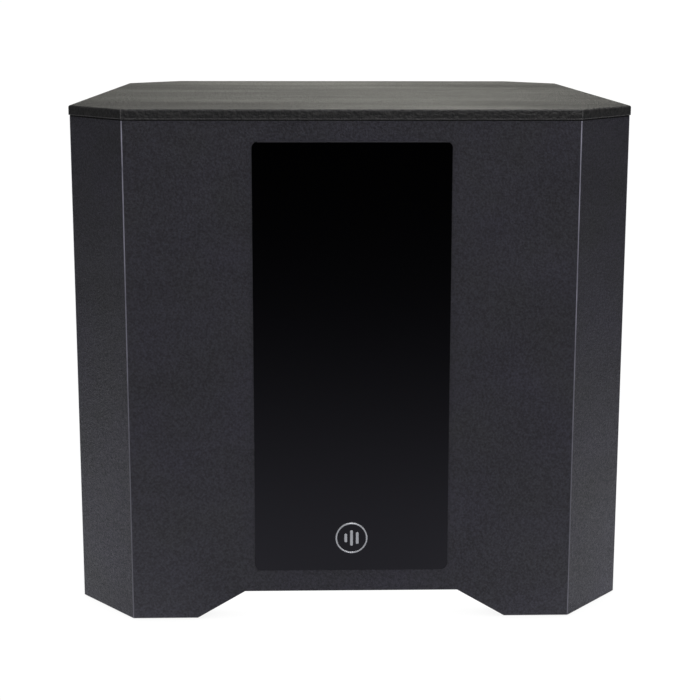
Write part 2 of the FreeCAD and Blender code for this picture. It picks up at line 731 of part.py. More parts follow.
def potentiometer(name, x):
    pot = piece(name + "_pot")
    bore = d.shaft + SHAFT_FIT
    revolve(pot, [(bore, can_front), (d.pot, can_front), (d.pot, can_back), (0, can_back),
                  (0, can_back + 2), (bore, can_back + 2)])
    pad(pot, "XY", [circle(0, 0, d.bush), circle(0, 0, bore)], can_front, 1.2)
    place(pot, x=x, y=plate_outer, z=d.knob_z, turn=TO_BACK)

    shaft = piece(name + "_shaft")
    pad(shaft, "XY", [circle(0, 0, d.shaft)], can_back + 2.2, d.knob_depth - 1)
    place(shaft, x=x, y=plate_outer, z=d.knob_z, turn=TO_BACK)

    knob = piece(name + "_knob")
    base = d.knob_gap
    top = d.knob_gap + d.knob_depth
    revolve(knob, [(d.shaft + 0.1, base), (5, base), (5, base + 1), (d.knob - 1.5, base + 1),
                   (d.knob - 1.5, base), (d.knob, base), (d.knob, top - 1), (d.knob - 1, top),
                   (0, top), (0, top - 2), (d.shaft + 0.1, top - 2)])
    flute = cut(knob, "XY", [circle(d.knob + 0.4, 0, 1)], base + 2, top + 1)
    around(knob, flute, 18)
    cut(knob, "XY", [box(0, -d.knob / 2 - 1, 1, d.knob - 3)], top - 0.5, top + 1)
    place(knob, x=x, y=plate_outer, z=d.knob_z, turn=TO_BACK)


potentiometer("volume", d.volume_x)
potentiometer("crossover", d.crossover_x)

# Two line-level sockets one above the other: a block and collar behind the plate, a plastic
# barrel with a bore for the plug's pin, and a metal shell round the barrel.
jack = new_body("jack")
collar_proud = Size(1.5)
pad(jack, "XY", [box(0, 0, 13, 15)], can_back, -d.amp_thick)
pad(jack, "XY", [circle(0, 0, d.socket_collar)], -d.amp_thick, collar_proud)
pad(jack, "XY", [circle(0, 0, d.socket_barrel)], collar_proud, d.socket_reach)
cut(jack, "XY", [circle(0, 0, d.socket_bore)], -6, d.socket_reach + 1)
jack_ys = [side * d.socket_pitch / 2 for side in (-1, 1)]
sockets = copies("rca_block", jack, [(0, y, 0, 0) for y in jack_ys])
place(sockets, x=d.socket_x, y=plate_outer, z=d.socket_z, turn=TO_BACK)

shells = piece("rca_shells")
for y in jack_ys:
    pad(shells, "XY", [circle(0, y, d.shell), circle(0, y, d.shell_bore)],
        collar_proud, d.socket_reach + 0.5)
place(shells, x=d.socket_x, y=plate_outer, z=d.socket_z, turn=TO_BACK)


def slide_switch(name, x, z, reach, throw, proud):
    """A slide switch behind the plate: reach is half its body's width, and the slider starts at
    the left stop and slides along +X by throw; its nib stands proud of the plate's outer face."""
    tall = Size(reach) * 0.8
    back = plate_inner - d.switch_depth
    cavity = reach - 2
    housing = piece(name + "_switch_body")
    pad(housing, "XZ", [box(0, 0, reach * 2, tall)], back, plate_inner)
    cut(housing, "XZ", [box(0, 0, cavity * 2, tall - 3)], back + 3, plate_inner + 1)
    place(housing, x=x, z=z)

    slider = piece(name + "_slider")
    start = -throw / 2
    nib_root = plate_inner - 0.6
    pad(slider, "XZ", [box(start, 0, (cavity - throw / 2) * 2 - 0.4, tall - 3.6)], back + 3.3, nib_root)
    pad(slider, "XZ", [box(start, 0, d.slot_width, d.slot_width - 0.1)], nib_root, plate_outer + proud)
    place(slider, x=x, z=z)


slide_switch("phase", d.phase_x, d.phase_z, 12, 4, 3)
slide_switch("voltage", d.voltage_x, d.mains_z, 13, 6, -0.4)

lamp = piece("power_led")
lamp_flange = -(d.amp_thick + 0.2)
revolve(lamp, [(0, -8), (d.lamp + 0.4, -8), (d.lamp + 0.4, lamp_flange), (d.lamp, lamp_flange),
               (d.lamp, 1), (0, d.lamp + 1, dome_bulge(d.lamp, d.lamp))])
place(lamp, x=d.lamp_x, y=plate_outer, z=d.lamp_z, turn=TO_BACK)

# Mains inlet: a flanged cup with its two upper corners cut off and three flat pins on its floor.
inlet = piece("mains_inlet")
cup_floor = plate_outer - d.inlet_depth
pad(inlet, "XZ", [box(0, 0, inlet_outer_width, inlet_outer_tall)], cup_floor - 10, plate_outer)
pad(inlet, "XZ", [box(0, 0, inlet_outer_width + 4.2, inlet_outer_tall + 4.2)], plate_outer, plate_outer + 2)
cup_x = d.inlet_width / 2
cup_z = d.inlet_tall / 2
cup = [(-cup_x, -cup_z), (cup_x, -cup_z), (cup_x, cup_z - d.inlet_bevel), (cup_x - d.inlet_bevel, cup_z),
       (d.inlet_bevel - cup_x, cup_z), (-cup_x, cup_z - d.inlet_bevel)]
cut(inlet, "XZ", [cup], cup_floor, plate_outer + 3)
place(inlet, x=d.inlet_x, z=d.mains_z)

pins = piece("inlet_pins")
pin_places = [(-7, -2), (0, 2), (7, -2)]
pad(pins, "XZ", [box(x, z, 2, 4) for x, z in pin_places], cup_floor, plate_outer - 1)
place(pins, x=d.inlet_x, z=d.mains_z)

# Fuse holder, its screw cap and the glass fuse that comes out with the cap.
fuse_top = Size(-10)
fuse_low = fuse_top - d.fuse_length
holder_floor = fuse_low - 2
holder_bore = d.fuse_tube + 0.3
holder = piece("fuse_holder")
revolve(holder, [(holder_bore, 2), (8, 2), (8, 0), (d.fuse_body, 0), (d.fuse_body, holder_floor - 2),
                 (0, holder_floor - 2), (0, holder_floor), (holder_bore, holder_floor)])
place(holder, x=d.fuse_x, y=plate_outer, z=d.mains_z, turn=TO_BACK)

fuse_cap = piece("fuse_cap")
grip = d.fuse + 0.1
revolve(fuse_cap, [(0, 9), (4.8, 9), (5.8, 8), (d.fuse_body, 2), (d.fuse_tube, 2),
                   (d.fuse_tube, fuse_top - 8), (grip, fuse_top - 8), (grip, fuse_top), (0, fuse_top)])
cut(fuse_cap, "XY", [box(0, 0, 8, 1.2)], 7.5, 10)
place(fuse_cap, x=d.fuse_x, y=plate_outer, z=d.mains_z, turn=TO_BACK)

fuse = piece("fuse")
pad(fuse, "XY", [circle(0, 0, d.fuse)], fuse_low, fuse_top)
place(fuse, x=d.fuse_x, y=plate_outer, z=d.mains_z, turn=TO_BACK)

# Power switch: a flanged housing and a rocker on a pivot across it.
pivot_y = plate_outer - 2
housing = piece("power_switch_body")
pad(housing, "XZ", [box(0, 0, d.switch_width, d.switch_tall)], plate_outer - 20, plate_outer)
pad(housing, "XZ", [box(0, 0, d.switch_width + 3, d.switch_tall + 3)], plate_outer, plate_outer + 1.5)
cut(housing, "XZ", [box(0, 0, d.rocker_width + 0.4, 23.6)], plate_outer - 16, plate_outer + 3)
place(housing, x=d.rocker_x, z=d.mains_z)

rocker = piece("power_rocker")
pad(rocker, "YZ", [[(-7, 0), (-2, 10), (4.6, 10.4), (3, 0), (4.6, -10.4), (-2, -10)]],
    -d.rocker_width / 2, d.rocker_width / 2)
place(rocker, x=d.rocker_x, y=pivot_y, z=d.mains_z, turn=(X, -SIZES["rocker_tilt"]))

# ---------------------------------------------------------------- transformer and wires

toroid = piece("toroid_transformer")
revolve(toroid, [(d.toroid_inner, 0), (d.toroid_outer, 0), (d.toroid_outer, d.toroid_thick),
                 (d.toroid_inner, d.toroid_thick)])
soften(toroid, d.toroid_round, round_edge(d.toroid_outer.value))
place(toroid, x=-inner, y=d.toroid_y, z=d.toroid_z, turn=(Y, 90))

# One bolt through a dished clamping disc, a short way into the board.
bolt = piece("toroid_bolt")
bolt_bite = Size(10)
disc = d.toroid_thick + d.clamp_thick
revolve(bolt, [(0, -bolt_bite), (d.toroid_bolt, -bolt_bite), (d.toroid_bolt, d.toroid_thick),
               (d.clamp, d.toroid_thick), (d.clamp, disc), (4.6, disc), (4.6, disc + 4), (0, disc + 4)])
place(bolt, x=-inner, y=d.toroid_y, z=d.toroid_z, turn=(Y, 90))
cut(left_panel, "XZ", [circle(-d.toroid_y, d.toroid_z, d.toroid_bolt)], -inner - bolt_bite, -inner + 1)


def wire_shape(points, radius):
    """A round wire along straight runs joined by tangent arcs as large as the runs allow, with its
    length and the radius of its tightest arc."""
    points = [Vector(*point) for point in points]
    edges = []
    bends = []
    at = points[0]
    for before, corner, after in zip(points, points[1:], points[2:]):
        into = (corner - before).normalize()
        out = (after - corner).normalize()
        half_turn = into.getAngle(out) / 2
        back = 0.45 * min((corner - before).Length, (after - corner).Length)
        bend = back / math.tan(half_turn)
        bends.append(bend)
        start = corner - into * back
        end = corner + out * back
        centre_way = (out - into).normalize()
        centre = corner + centre_way * (bend / math.cos(half_turn))
        middle = centre - centre_way * bend
        edges.append(Part.LineSegment(at, start).toShape())
        edges.append(Part.Arc(start, middle, end).toShape())
        at = end
    edges.append(Part.LineSegment(at, points[-1]).toShape())
    path = Part.Wire(edges)
    section = Part.Wire([Part.makeCircle(radius, points[0], points[1] - points[0])])
    tube = path.makePipeShell([section], True, False)
    return tube, path.Length, min(bends)


# Two wires from the circuit board down to the woofer's terminal tags.
wire_radius = d.wire.value
board_face = circuit_inner.value - 0.3
wires = []
for side in (-1, 1):
    x = side * tag_side.value
    route = [(x + side * 14, board_face, 122), (x + side * 13, board_face - 15.7, 121),
             (x + side * 9, 122, 114), (x + side * 4, 103, 112), (x + side, 84, 111),
             (x, 68, 105), (x, tag_y.value, 93), (x, tag_y.value, tag_top.value)]
    tube, run, tightest = wire_shape(route, wire_radius)
    if abs(tube.Volume - math.pi * wire_radius ** 2 * run) > 0.02 * tube.Volume:
        raise ValueError("a woofer wire's volume is wrong")
    print("woofer wire length", round(run, 1), "tightest bend", round(tightest, 1))
    wires.append(tube)
woofer_wires = doc.addObject("Part::Feature", "driver_wires")
woofer_wires.Label = "driver_wires"
woofer_wires.Shape = Part.makeCompound(wires)
keep(woofer_wires)
place(woofer_wires)

# ---------------------------------------------------------------- check and write

doc.recompute()
for item in doc.Objects:
    if "Invalid" in item.State or "Error" in item.State:
        raise ValueError("%s is %s" % (item.Label, item.State))
for part in parts:
    if part.Shape.isNull() or not part.Shape.isValid() or not part.Shape.Solids:
        raise ValueError("%s has no valid solid" % part.Label)

os.makedirs("parts", exist_ok=True)
for part in parts:
    part.Shape.exportStep("parts/%s.step" % part.Label)
whole = Part.makeCompound([part.Shape for part in parts])
print(len(parts), "nodes", whole.BoundBox)
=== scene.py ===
import math

import bpy
from mathutils import Matrix, Vector


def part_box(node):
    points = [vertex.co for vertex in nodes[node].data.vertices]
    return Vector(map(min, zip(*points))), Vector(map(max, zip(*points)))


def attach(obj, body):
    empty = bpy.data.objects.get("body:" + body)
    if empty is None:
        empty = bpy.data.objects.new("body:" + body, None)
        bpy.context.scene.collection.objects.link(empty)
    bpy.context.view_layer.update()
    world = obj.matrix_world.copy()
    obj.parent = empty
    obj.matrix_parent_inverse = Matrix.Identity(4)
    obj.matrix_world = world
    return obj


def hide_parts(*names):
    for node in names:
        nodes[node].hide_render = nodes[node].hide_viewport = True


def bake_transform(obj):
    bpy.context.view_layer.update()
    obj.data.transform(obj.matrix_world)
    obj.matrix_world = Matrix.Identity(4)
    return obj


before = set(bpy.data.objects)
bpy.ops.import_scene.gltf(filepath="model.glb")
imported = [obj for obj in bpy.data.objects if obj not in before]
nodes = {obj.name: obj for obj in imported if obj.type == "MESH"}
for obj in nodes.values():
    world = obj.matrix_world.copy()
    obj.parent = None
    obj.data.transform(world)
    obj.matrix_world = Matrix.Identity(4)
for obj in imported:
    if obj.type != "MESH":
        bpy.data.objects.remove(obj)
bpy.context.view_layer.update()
scene = bpy.context.scene

MM = 0.001
HALF_CORNER = math.tan(math.radians(22.5))  # a corner of the cabinet turns 45 degrees
ON_AXIS = 1e-6  # a lathe's point this close to its axis becomes a single point


# ---------------------------------------------------------------- meshes

def low(node):
    """The corner of a CAD node's box with the smallest coordinates."""
    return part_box(node)[0]


def high(node):
    """The corner of a CAD node's box with the largest coordinates."""
    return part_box(node)[1]


def middle(node):
    return (low(node) + high(node)) / 2


def soft_edges(obj, angle=32):
    """Smooth faces, with edges sharper than the angle kept crisp."""
    obj.data.shade_smooth()
    obj.data.set_sharp_from_angle(angle=math.radians(angle))


def piece(name, vertices, faces, material, body="cabinet", replaces=(), slot=None, angle=32):
    """A mesh piece with its points in the row frame, riding on a body."""
    mesh = bpy.data.meshes.new(name)
    mesh.from_pydata([tuple(point) for point in vertices], [], faces)
    mesh.validate()
    mesh.update()
    mesh.materials.append(material)
    obj = bpy.data.objects.new(name, mesh)
    scene.collection.objects.link(obj)
    soft_edges(obj, angle)
    if body:
        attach(obj, body)
    if replaces:
        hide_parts(*replaces)
    return obj


def even_shading(obj, weight):
    """Lets the large faces set the shading of the small ones beside them."""
    normals = obj.modifiers.new("normals", "WEIGHTED_NORMAL")
    normals.keep_sharp = True
    normals.weight = weight


def add_bevel(obj, width, segments=2, angle=35):
    """Rounds the edges that are sharper than the angle."""
    bevel = obj.modifiers.new("edges", "BEVEL")
    bevel.width = width
    bevel.segments = segments
    bevel.limit_method = "ANGLE"
    bevel.angle_limit = math.radians(angle)
    even_shading(obj, 80)


def arc(centre_x, centre_y, radius, start, end, steps):
    """Points on an arc, angles in degrees."""
    points = []
    for n in range(steps + 1):
        angle = math.radians(start + (end - start) * n / steps)
        points.append((centre_x + radius * math.cos(angle), centre_y + radius * math.sin(angle)))
    return points


def circle(radius, count):
    """A closed circle about 0, 0 of so many points."""
    return arc(0, 0, radius, 0, 360 - 360 / count, count - 1)


def rounded_box(width, tall, radius, steps=8):
    """A rectangle about 0, 0 with rounded corners, anticlockwise."""
    x, y = width / 2 - radius, tall / 2 - radius
    points = []
    for centre_x, centre_y, start in ((x, y, 0), (-x, y, 90), (-x, -y, 180), (x, -y, 270)):
        points += arc(centre_x, centre_y, radius, start, start + 90, steps)
    return points


def octagon(reach, straight, radius=0.0, steps=6):
    """The cabinet's outline: eight corners that turn 45 degrees, each rounded by radius."""
    corners = []
    for x, y in ((1, 1), (-1, 1), (-1, -1), (1, -1)):
        pair = [(x * reach, y * straight), (x * straight, y * reach)]
        corners += pair if x * y > 0 else pair[::-1]
    if not radius:
        return corners
    back = radius * HALF_CORNER
    points = []
    for n, corner in enumerate(corners):
        here = Vector(corner)
        before = (Vector(corners[n - 1]) - here).normalized()
        centre = here + before * back + Vector((before.y, -before.x)) * radius
        start = math.degrees(math.atan2(*(here + before * back - centre).yx))
        points += arc(centre.x, centre.y, radius, start, start + 45, steps)
    return points


def prism(outline, start, end, place=Matrix()):
    """Points and faces of an outline drawn out along Z from start to end, then placed."""
    count = len(outline)
    points = [place @ Vector((x, y, z)) for z in (start, end) for x, y in outline]
    sides = [(n, (n + 1) % count, count + (n + 1) % count, count + n) for n in range(count)]
    caps = [tuple(reversed(range(count))), tuple(range(count, 2 * count))]
    return points, sides + caps


def lathe(profile, place=Matrix(), steps=96, closed=False):
    """Points and faces of a profile of (radius, height) turned about Z. A closed profile runs on
    from its last point to its first."""
    points, faces, rings = [], [], []
    for radius, height in profile:
        if radius < ON_AXIS:
            rings.append([len(points)] * steps)
            points.append(place @ Vector((0, 0, height)))
            continue
        rings.append(list(range(len(points), len(points) + steps)))
        for n in range(steps):
            angle = 2 * math.pi * n / steps
            points.append(place @ Vector((radius * math.cos(angle), radius * math.sin(angle), height)))
    pairs = list(zip(rings, rings[1:] + rings[:1]))
    if not closed:
        pairs.pop()
    for inner, outer in pairs:
        for n in range(steps):
            after = (n + 1) % steps
            corners = [inner[n], inner[after], outer[after], outer[n]]
            face = [corner for m, corner in enumerate(corners) if corner != corners[m - 1]]
            if len(face) > 2:
                faces.append(tuple(face))
    return points, faces


def joined(*shapes):
    """Several (points, faces) pairs as one."""
    points, faces = [], []
    for more_points, more_faces in shapes:
        shift = len(points)
        points += more_points
        faces += [tuple(n + shift for n in face) for face in more_faces]
    return points, faces


def shifted(x, y, z):
    return Matrix.Translation((x, y, z))


def turned(degrees, axis):
    return Matrix.Rotation(math.radians(degrees), 4, axis)


def facing_back(x, y, z):
    """Local Z points to +Y and local Y points down."""
    return shifted(x, y, z) @ turned(-90, "X")


def facing_front(x, y, z):
    """Local Z points to -Y and local Y points up."""
    return shifted(x, y, z) @ turned(90, "X")


# ---------------------------------------------------------------- materials

class Shader:
    """A material's nodes, with short ways to add them. Coordinates are the row frame, in metres."""

    def __init__(self, name, colour, roughness, metallic=0.0, **sockets):
        self.material = bpy.data.materials.new(name)
        self.material.use_nodes = True
        self.tree = self.material.node_tree
        self.surface = self.tree.nodes["Principled BSDF"]
        self.place = self.add("TexCoord").outputs["Object"]
        self.set("Base Color", (*colour, 1))
        self.set("Roughness", roughness)
        self.set("Metallic", metallic)
        for socket, value in sockets.items():
            self.set(socket.replace("_", " "), value)
        self.normal = None
        self.material.diffuse_color = (*colour, 1)

    def add(self, kind):
        return self.tree.nodes.new("ShaderNode" + kind)

    def feed(self, node, socket, value):
        """Gives an input of a node a fixed value, or the output that drives it."""
        if isinstance(value, bpy.types.NodeSocket):
            self.tree.links.new(value, node.inputs[socket])
        else:
            node.inputs[socket].default_value = value

    def set(self, socket, value):
        self.feed(self.surface, socket, value)

    def axis(self, name):
        """One coordinate of the point: X, Y or Z."""
        split = self.add("SeparateXYZ")
        self.feed(split, 0, self.place)
        return split.outputs[name]

    def stretched(self, scale):
        """The coordinates, scaled apart along X, Y and Z."""
        mapping = self.add("Mapping")
        self.feed(mapping, "Scale", scale)
        self.feed(mapping, "Vector", self.place)
        return mapping.outputs["Vector"]

    def noise(self, scale, detail=3.0, stretch=(1, 1, 1), roughness=0.5):
        """Soft random blotches, around 0.5."""
        node = self.add("TexNoise")
        self.feed(node, "Scale", scale)
        self.feed(node, "Detail", detail)
        self.feed(node, "Roughness", roughness)
        self.feed(node, "Vector", self.stretched(stretch))
        return node.outputs["Fac"]

    def cells(self, scale, stretch=(1, 1, 1), feature="F1", warp=0.0):
        """Distance from the middle of irregular cells, whose walls can be made wavy."""
        node = self.add("TexVoronoi")
        node.feature = feature
        self.feed(node, "Scale", scale)
        vector = self.stretched(stretch)
        if warp:
            wobble = self.add("TexNoise")
            self.feed(wobble, "Scale", scale * 0.6)
            self.feed(wobble, "Vector", vector)
            shift = self.add("VectorMath")
            shift.operation = "MULTIPLY_ADD"
            self.feed(shift, 0, wobble.outputs["Color"])
            self.feed(shift, 1, (warp, warp, warp))
            self.feed(shift, 2, vector)
            vector = shift.outputs[0]
        self.feed(node, "Vector", vector)
        return node.outputs["Distance"]

    def bands(self, pitch, direction, distortion=0.0):
        """Stripes from 0 to 1, pitch metres from one to the next. At scale 1 they are pi / 10 apart."""
        node = self.add("TexWave")
        node.bands_direction = direction
        self.feed(node, "Scale", math.pi / 10 / pitch)
        self.feed(node, "Distortion", distortion)
        self.feed(node, "Vector", self.place)
        return node.outputs["Fac"]

    def span(self, value, start, end, source=(0.3, 0.7)):
        """Turns the range of values in source into start to end, and holds what lies outside it."""
        node = self.add("MapRange")
        self.feed(node, "Value", value)
        self.feed(node, "From Min", source[0])
        self.feed(node, "From Max", source[1])
        self.feed(node, "To Min", start)
        self.feed(node, "To Max", end)
        return node.outputs["Result"]

    def maths(self, operation, first, second=0.0):
        node = self.add("Math")
        node.operation = operation
        self.feed(node, 0, first)
        self.feed(node, 1, second)
        return node.outputs[0]

    def mixed(self, factor, first, second):
        """The first colour where the factor is 0 and the second where it is 1."""
        node = self.add("Mix")
        node.data_type = "RGBA"
        self.feed(node, "Factor", factor)
        slots = [index for index, item in enumerate(node.inputs) if item.type == "RGBA"]
        for index, colour in zip(slots, (first, second)):
            self.feed(node, index, (*colour, 1) if isinstance(colour, tuple) else colour)
        return [item for item in node.outputs if item.type == "RGBA"][0]

    def mottle(self, texture, first, second, source=(0.3, 0.7)):
        """Colours the surface from the first colour to the second as the texture rises."""
        self.set("Base Color", self.mixed(self.span(texture, 0, 1, source), first, second))

    def roughen(self, texture, first, second, source=(0.3, 0.7)):
        """Takes the roughness from the first value to the second as the texture rises."""
        self.set("Roughness", self.span(texture, first, second, source))

    def rubbed_and_highlit_edges(self, radius):
        """1 on edges, falling to 0 a radius away from them."""
        rounded = self.add("Bevel")
        self.feed(rounded, "Radius", radius)
        flat = self.add("NewGeometry")
        likeness = self.add("VectorMath")
        likeness.operation = "DOT_PRODUCT"
        self.feed(likeness, 0, rounded.outputs[0])
        self.feed(likeness, 1, flat.outputs["True Normal"])
        return self.span(likeness.outputs["Value"], 1, 0, (0.93, 0.99))

    def bump(self, height, distance, strength=1.0):
        """Adds relief of so many metres, on top of any that is there."""
        node = self.add("Bump")
        self.feed(node, "Strength", strength)
        self.feed(node, "Distance", distance)
        self.feed(node, "Height", height)
        if self.normal:
            self.feed(node, "Normal", self.normal)
        self.normal = node.outputs["Normal"]
        self.set("Normal", self.normal)


def shade(colour, factor):
    return tuple(part * factor for part in colour)


def vinyl():
    """Black vinyl wrap: irregular pebbles over a millimetre across, and faint cloudy patches."""
    s = Shader("black_vinyl", (0.024, 0.024, 0.030), 0.5)
    pebbles = s.noise(780, 1, (1, 1, 1), 0.5)
    creases = s.cells(620, feature="SMOOTH_F1", warp=0.5)
    patches = s.noise(30, 4, (0.6, 0.6, 1.4))
    tint = s.mixed(s.span(s.noise(22, 3), 0, 1), (0.045, 0.044, 0.055), (0.047, 0.043, 0.068))
    tone = s.maths("ADD", s.span(pebbles, 0.1, 0.74, (0.25, 0.75)), s.span(patches, 0, 0.2))
    s.set("Base Color", s.mixed(tone, (0.0055, 0.0050, 0.0080), tint))
    s.roughen(pebbles, 0.58, 0.42)
    s.bump(pebbles, 0.0004)
    s.bump(creases, 0.00012)
    return s.material


def ridge_highlight_vinyl():
    """The same vinyl where it is stretched over a ridge: paler, most of all towards the top, as a
    painted highlight.
    """
    s = Shader("ridge_highlight_vinyl", (0.13, 0.125, 0.16), 0.35)
    # Painted highlight: far paler than the vinyl, and paler still towards the top.
    highlight_towards_top = s.span(s.axis("Z"), 0, 1, (0.08, 0.31))
    pale = s.mixed(highlight_towards_top, (0.14, 0.136, 0.166), (0.44, 0.43, 0.53))
    rub_and_highlight_mask = s.noise(150, 4, (1, 1, 0.4), 0.6)
    s.set("Base Color", s.mixed(s.span(rub_and_highlight_mask, 0, 0.5), pale, (0.030, 0.029, 0.038)))
    s.roughen(rub_and_highlight_mask, 0.3, 0.45)
    s.bump(s.noise(900, 2), 0.00006)
    return s.material


def lid_vinyl():
    """The lid's foil: the same black with long streaks from side to side and a leathery grain."""
    s = Shader("lid_vinyl", (0.03, 0.03, 0.03), 0.55)
    streaks = s.noise(60, 6, (0.5, 9, 9), 0.6)
    pores = s.noise(300, 3, (0.3, 4, 4), 0.6)
    pebbles = s.noise(430, 2, (1, 1, 1), 0.55)
    tone = s.maths("ADD", s.span(streaks, 0, 0.45, (0.35, 0.65)),
                   s.span(pebbles, 0, 0.55, (0.38, 0.62)))
    grain = s.mixed(tone, (0.001, 0.001, 0.002), (0.024, 0.023, 0.023))
    # Painted highlight along the lid's upper edges and corners, which also stands for rubbed foil: pale
    # there, but not on the lower edge.
    above_lower_edge = s.span(s.axis("Z"), 0, 1, (0.3155, 0.3175))
    rub_and_highlight_mask = s.maths("MULTIPLY", s.rubbed_and_highlit_edges(0.001), above_lower_edge)
    s.set("Base Color", s.mixed(rub_and_highlight_mask, grain, (0.15, 0.145, 0.15)))
    clouds = s.noise(12, 3, (0.35, 1.6, 1))
    s.roughen(s.maths("ADD", clouds, pores), 0.53, 0.75, (0.75, 1.25))
    s.bump(pores, 0.0002)
    s.bump(pebbles, 0.0012)
    return s.material


def painted_board():
    """Fibreboard painted black: cut edges and the underside."""
    s = Shader("painted_board", (0.022, 0.021, 0.021), 0.62)
    fibres = s.noise(900, 4, (1, 1, 1), 0.65)
    s.mottle(s.noise(40, 3), (0.017, 0.016, 0.016), (0.030, 0.028, 0.027))
    s.roughen(fibres, 0.5, 0.75)
    s.bump(fibres, 0.00012)
    return s.material


def acrylic():
    """Gloss black acrylic with a trace of handling marks."""
    s = Shader("gloss_acrylic", (0.0003, 0.0003, 0.0004), 0.04, IOR=1.49,
               Specular_Tint=(0.88, 0.85, 1, 1))
    s.roughen(s.noise(30, 5, (1, 1, 0.3), 0.6), 0.03, 0.07)
    s.bump(s.noise(12, 2), 0.00004, 0.15)
    return s.material


def plastic(name, colour, roughness, grain=0.00004, scale=1600):
    """Moulded plastic with a fine spark-eroded texture."""
    s = Shader(name, colour, roughness)
    texture = s.noise(scale, 2)
    s.mottle(s.noise(90, 2), shade(colour, 0.85), shade(colour, 1.15))
    s.roughen(texture, roughness - 0.06, roughness + 0.08)
    s.bump(texture, grain)
    return s.material


def coated_metal(name, colour, roughness=0.45, grain=0.00007):
    """Powder coat: a soft orange-peel skin over sheet metal."""
    s = Shader(name, colour, roughness)
    peel = s.noise(1100, 2)
    s.mottle(s.noise(70, 3), shade(colour, 0.8), shade(colour, 1.25))
    s.roughen(peel, roughness - 0.08, roughness + 0.1)
    s.bump(peel, grain)
    return s.material


def bare_metal(name, colour, roughness=0.3, stretch=(1, 1, 1)):
    """Plated or machined metal with fine brush marks."""
    s = Shader(name, colour, roughness, 1.0)
    marks = s.noise(700, 4, stretch, 0.6)
    s.mottle(s.noise(120, 3), shade(colour, 0.86), colour)
    s.roughen(marks, roughness - 0.08, roughness + 0.12)
    s.bump(marks, 0.00002)
    return s.material


def silver_foil():
    """Hot-pressed silver foil: metal flakes in lacquer, satin."""
    s = Shader("silver_foil", (0.66, 0.67, 0.71), 0.38, 0.45)
    flakes = s.noise(3000, 2)
    s.mottle(flakes, (0.60, 0.61, 0.65), (0.72, 0.73, 0.77))
    s.roughen(s.noise(600, 3), 0.3, 0.45)
    s.bump(flakes, 0.00001)
    return s.material


def rubber():
    """Matt butyl rubber with a faint bloom."""
    s = Shader("butyl_rubber", (0.02, 0.02, 0.021), 0.55, Sheen_Weight=0.15, Sheen_Roughness=0.4)
    bloom = s.noise(110, 4)
    s.mottle(bloom, (0.014, 0.014, 0.015), (0.030, 0.030, 0.031))
    s.roughen(bloom, 0.48, 0.62)
    s.bump(s.noise(1800, 2), 0.00003)
    return s.material


def cone_paper():
    """Pressed paper pulp, black, with short fibres showing."""
    s = Shader("cone_paper", (0.03, 0.03, 0.032), 0.7)
    fibres = s.noise(1300, 5, (1, 1, 1), 0.7)
    tufts = s.noise(320, 3, (1, 2.5, 1), 0.6)
    s.mottle(fibres, (0.018, 0.018, 0.019), (0.055, 0.054, 0.055))
    s.roughen(tufts, 0.6, 0.8)
    s.bump(fibres, 0.00010)
    s.bump(tufts, 0.00012)
    return s.material


def cloth(name, colour):
    """Woven cloth: two sets of threads crossing."""
    s = Shader(name, colour, 0.75)
    pitch = 1.381 * MM
    weave = s.maths("MULTIPLY", s.bands(pitch, "X"), s.bands(pitch, "Y"))
    s.set("Base Color", s.mixed(weave, shade(colour, 0.55), shade(colour, 1.2)))
    s.roughen(weave, 0.85, 0.65, (0, 1))
    s.bump(weave, 0.00015)
    return s.material


def felt():
    """Pressed felt, with a fibrous nap."""
    s = Shader("felt", (0.03, 0.03, 0.03), 0.9, Sheen_Weight=0.3)
    nap = s.noise(2200, 5, (1, 1, 1), 0.75)
    s.mottle(nap, (0.015, 0.015, 0.015), (0.06, 0.06, 0.06))
    s.bump(nap, 0.0003)
    return s.material


def wadding_fibre():
    """Loose white polyester wadding."""
    s = Shader("polyester_wadding", (0.75, 0.75, 0.72), 0.9, Sheen_Weight=0.3)
    tufts = s.noise(160, 6, (1, 1, 2), 0.75)
    s.mottle(tufts, (0.55, 0.55, 0.52), (0.85, 0.85, 0.82))
    s.bump(tufts, 0.002)
    return s.material


def foam_strip():
    """Closed-cell sealing foam."""
    s = Shader("sealing_foam", (0.03, 0.03, 0.03), 0.85)
    cells = s.cells(1800)
    s.mottle(cells, (0.045, 0.045, 0.045), (0.014, 0.014, 0.014), (0, 0.8))
    s.bump(cells, 0.0002)
    return s.material


def softwood():
    """Bare pine with growth rings."""
    s = Shader("softwood", (0.55, 0.38, 0.22), 0.6)
    rings = s.bands(7.854 * MM, "Z", 6.0)
    s.set("Base Color", s.mixed(rings, (0.42, 0.27, 0.13), (0.62, 0.44, 0.26)))
    s.roughen(s.noise(400, 4, (0.2, 1, 1)), 0.5, 0.7)
    s.bump(s.noise(500, 4, (0.1, 1, 1)), 0.0001)
    return s.material


def ferrite():
    """Sintered ferrite, dark grey with fine chips."""
    s = Shader("ferrite", (0.06, 0.06, 0.065), 0.5)
    chips = s.noise(700, 5, (1, 1, 1), 0.7)
    s.mottle(chips, (0.035, 0.035, 0.04), (0.10, 0.10, 0.105))
    s.roughen(chips, 0.4, 0.6)
    s.bump(chips, 0.00012)
    return s.material


def circuit_laminate():
    """Green solder mask with faint copper tracks below it."""
    s = Shader("circuit_laminate", (0.01, 0.12, 0.05), 0.3)
    tracks = s.cells(160, (1, 0, 1))
    s.mottle(tracks, (0.02, 0.20, 0.08), (0.008, 0.10, 0.04), (0.3, 0.34))
    s.roughen(s.noise(500, 2), 0.25, 0.4)
    s.bump(tracks, 0.00003)
    return s.material


def wound_tape():
    """Amber tape wrapped over a transformer's winding."""
    s = Shader("winding_tape", (0.35, 0.22, 0.03), 0.35)
    folds = s.noise(220, 4, (3, 1, 1), 0.6)
    s.mottle(folds, (0.22, 0.13, 0.02), (0.50, 0.33, 0.06))
    s.roughen(folds, 0.25, 0.45)
    s.bump(folds, 0.0003)
    return s.material


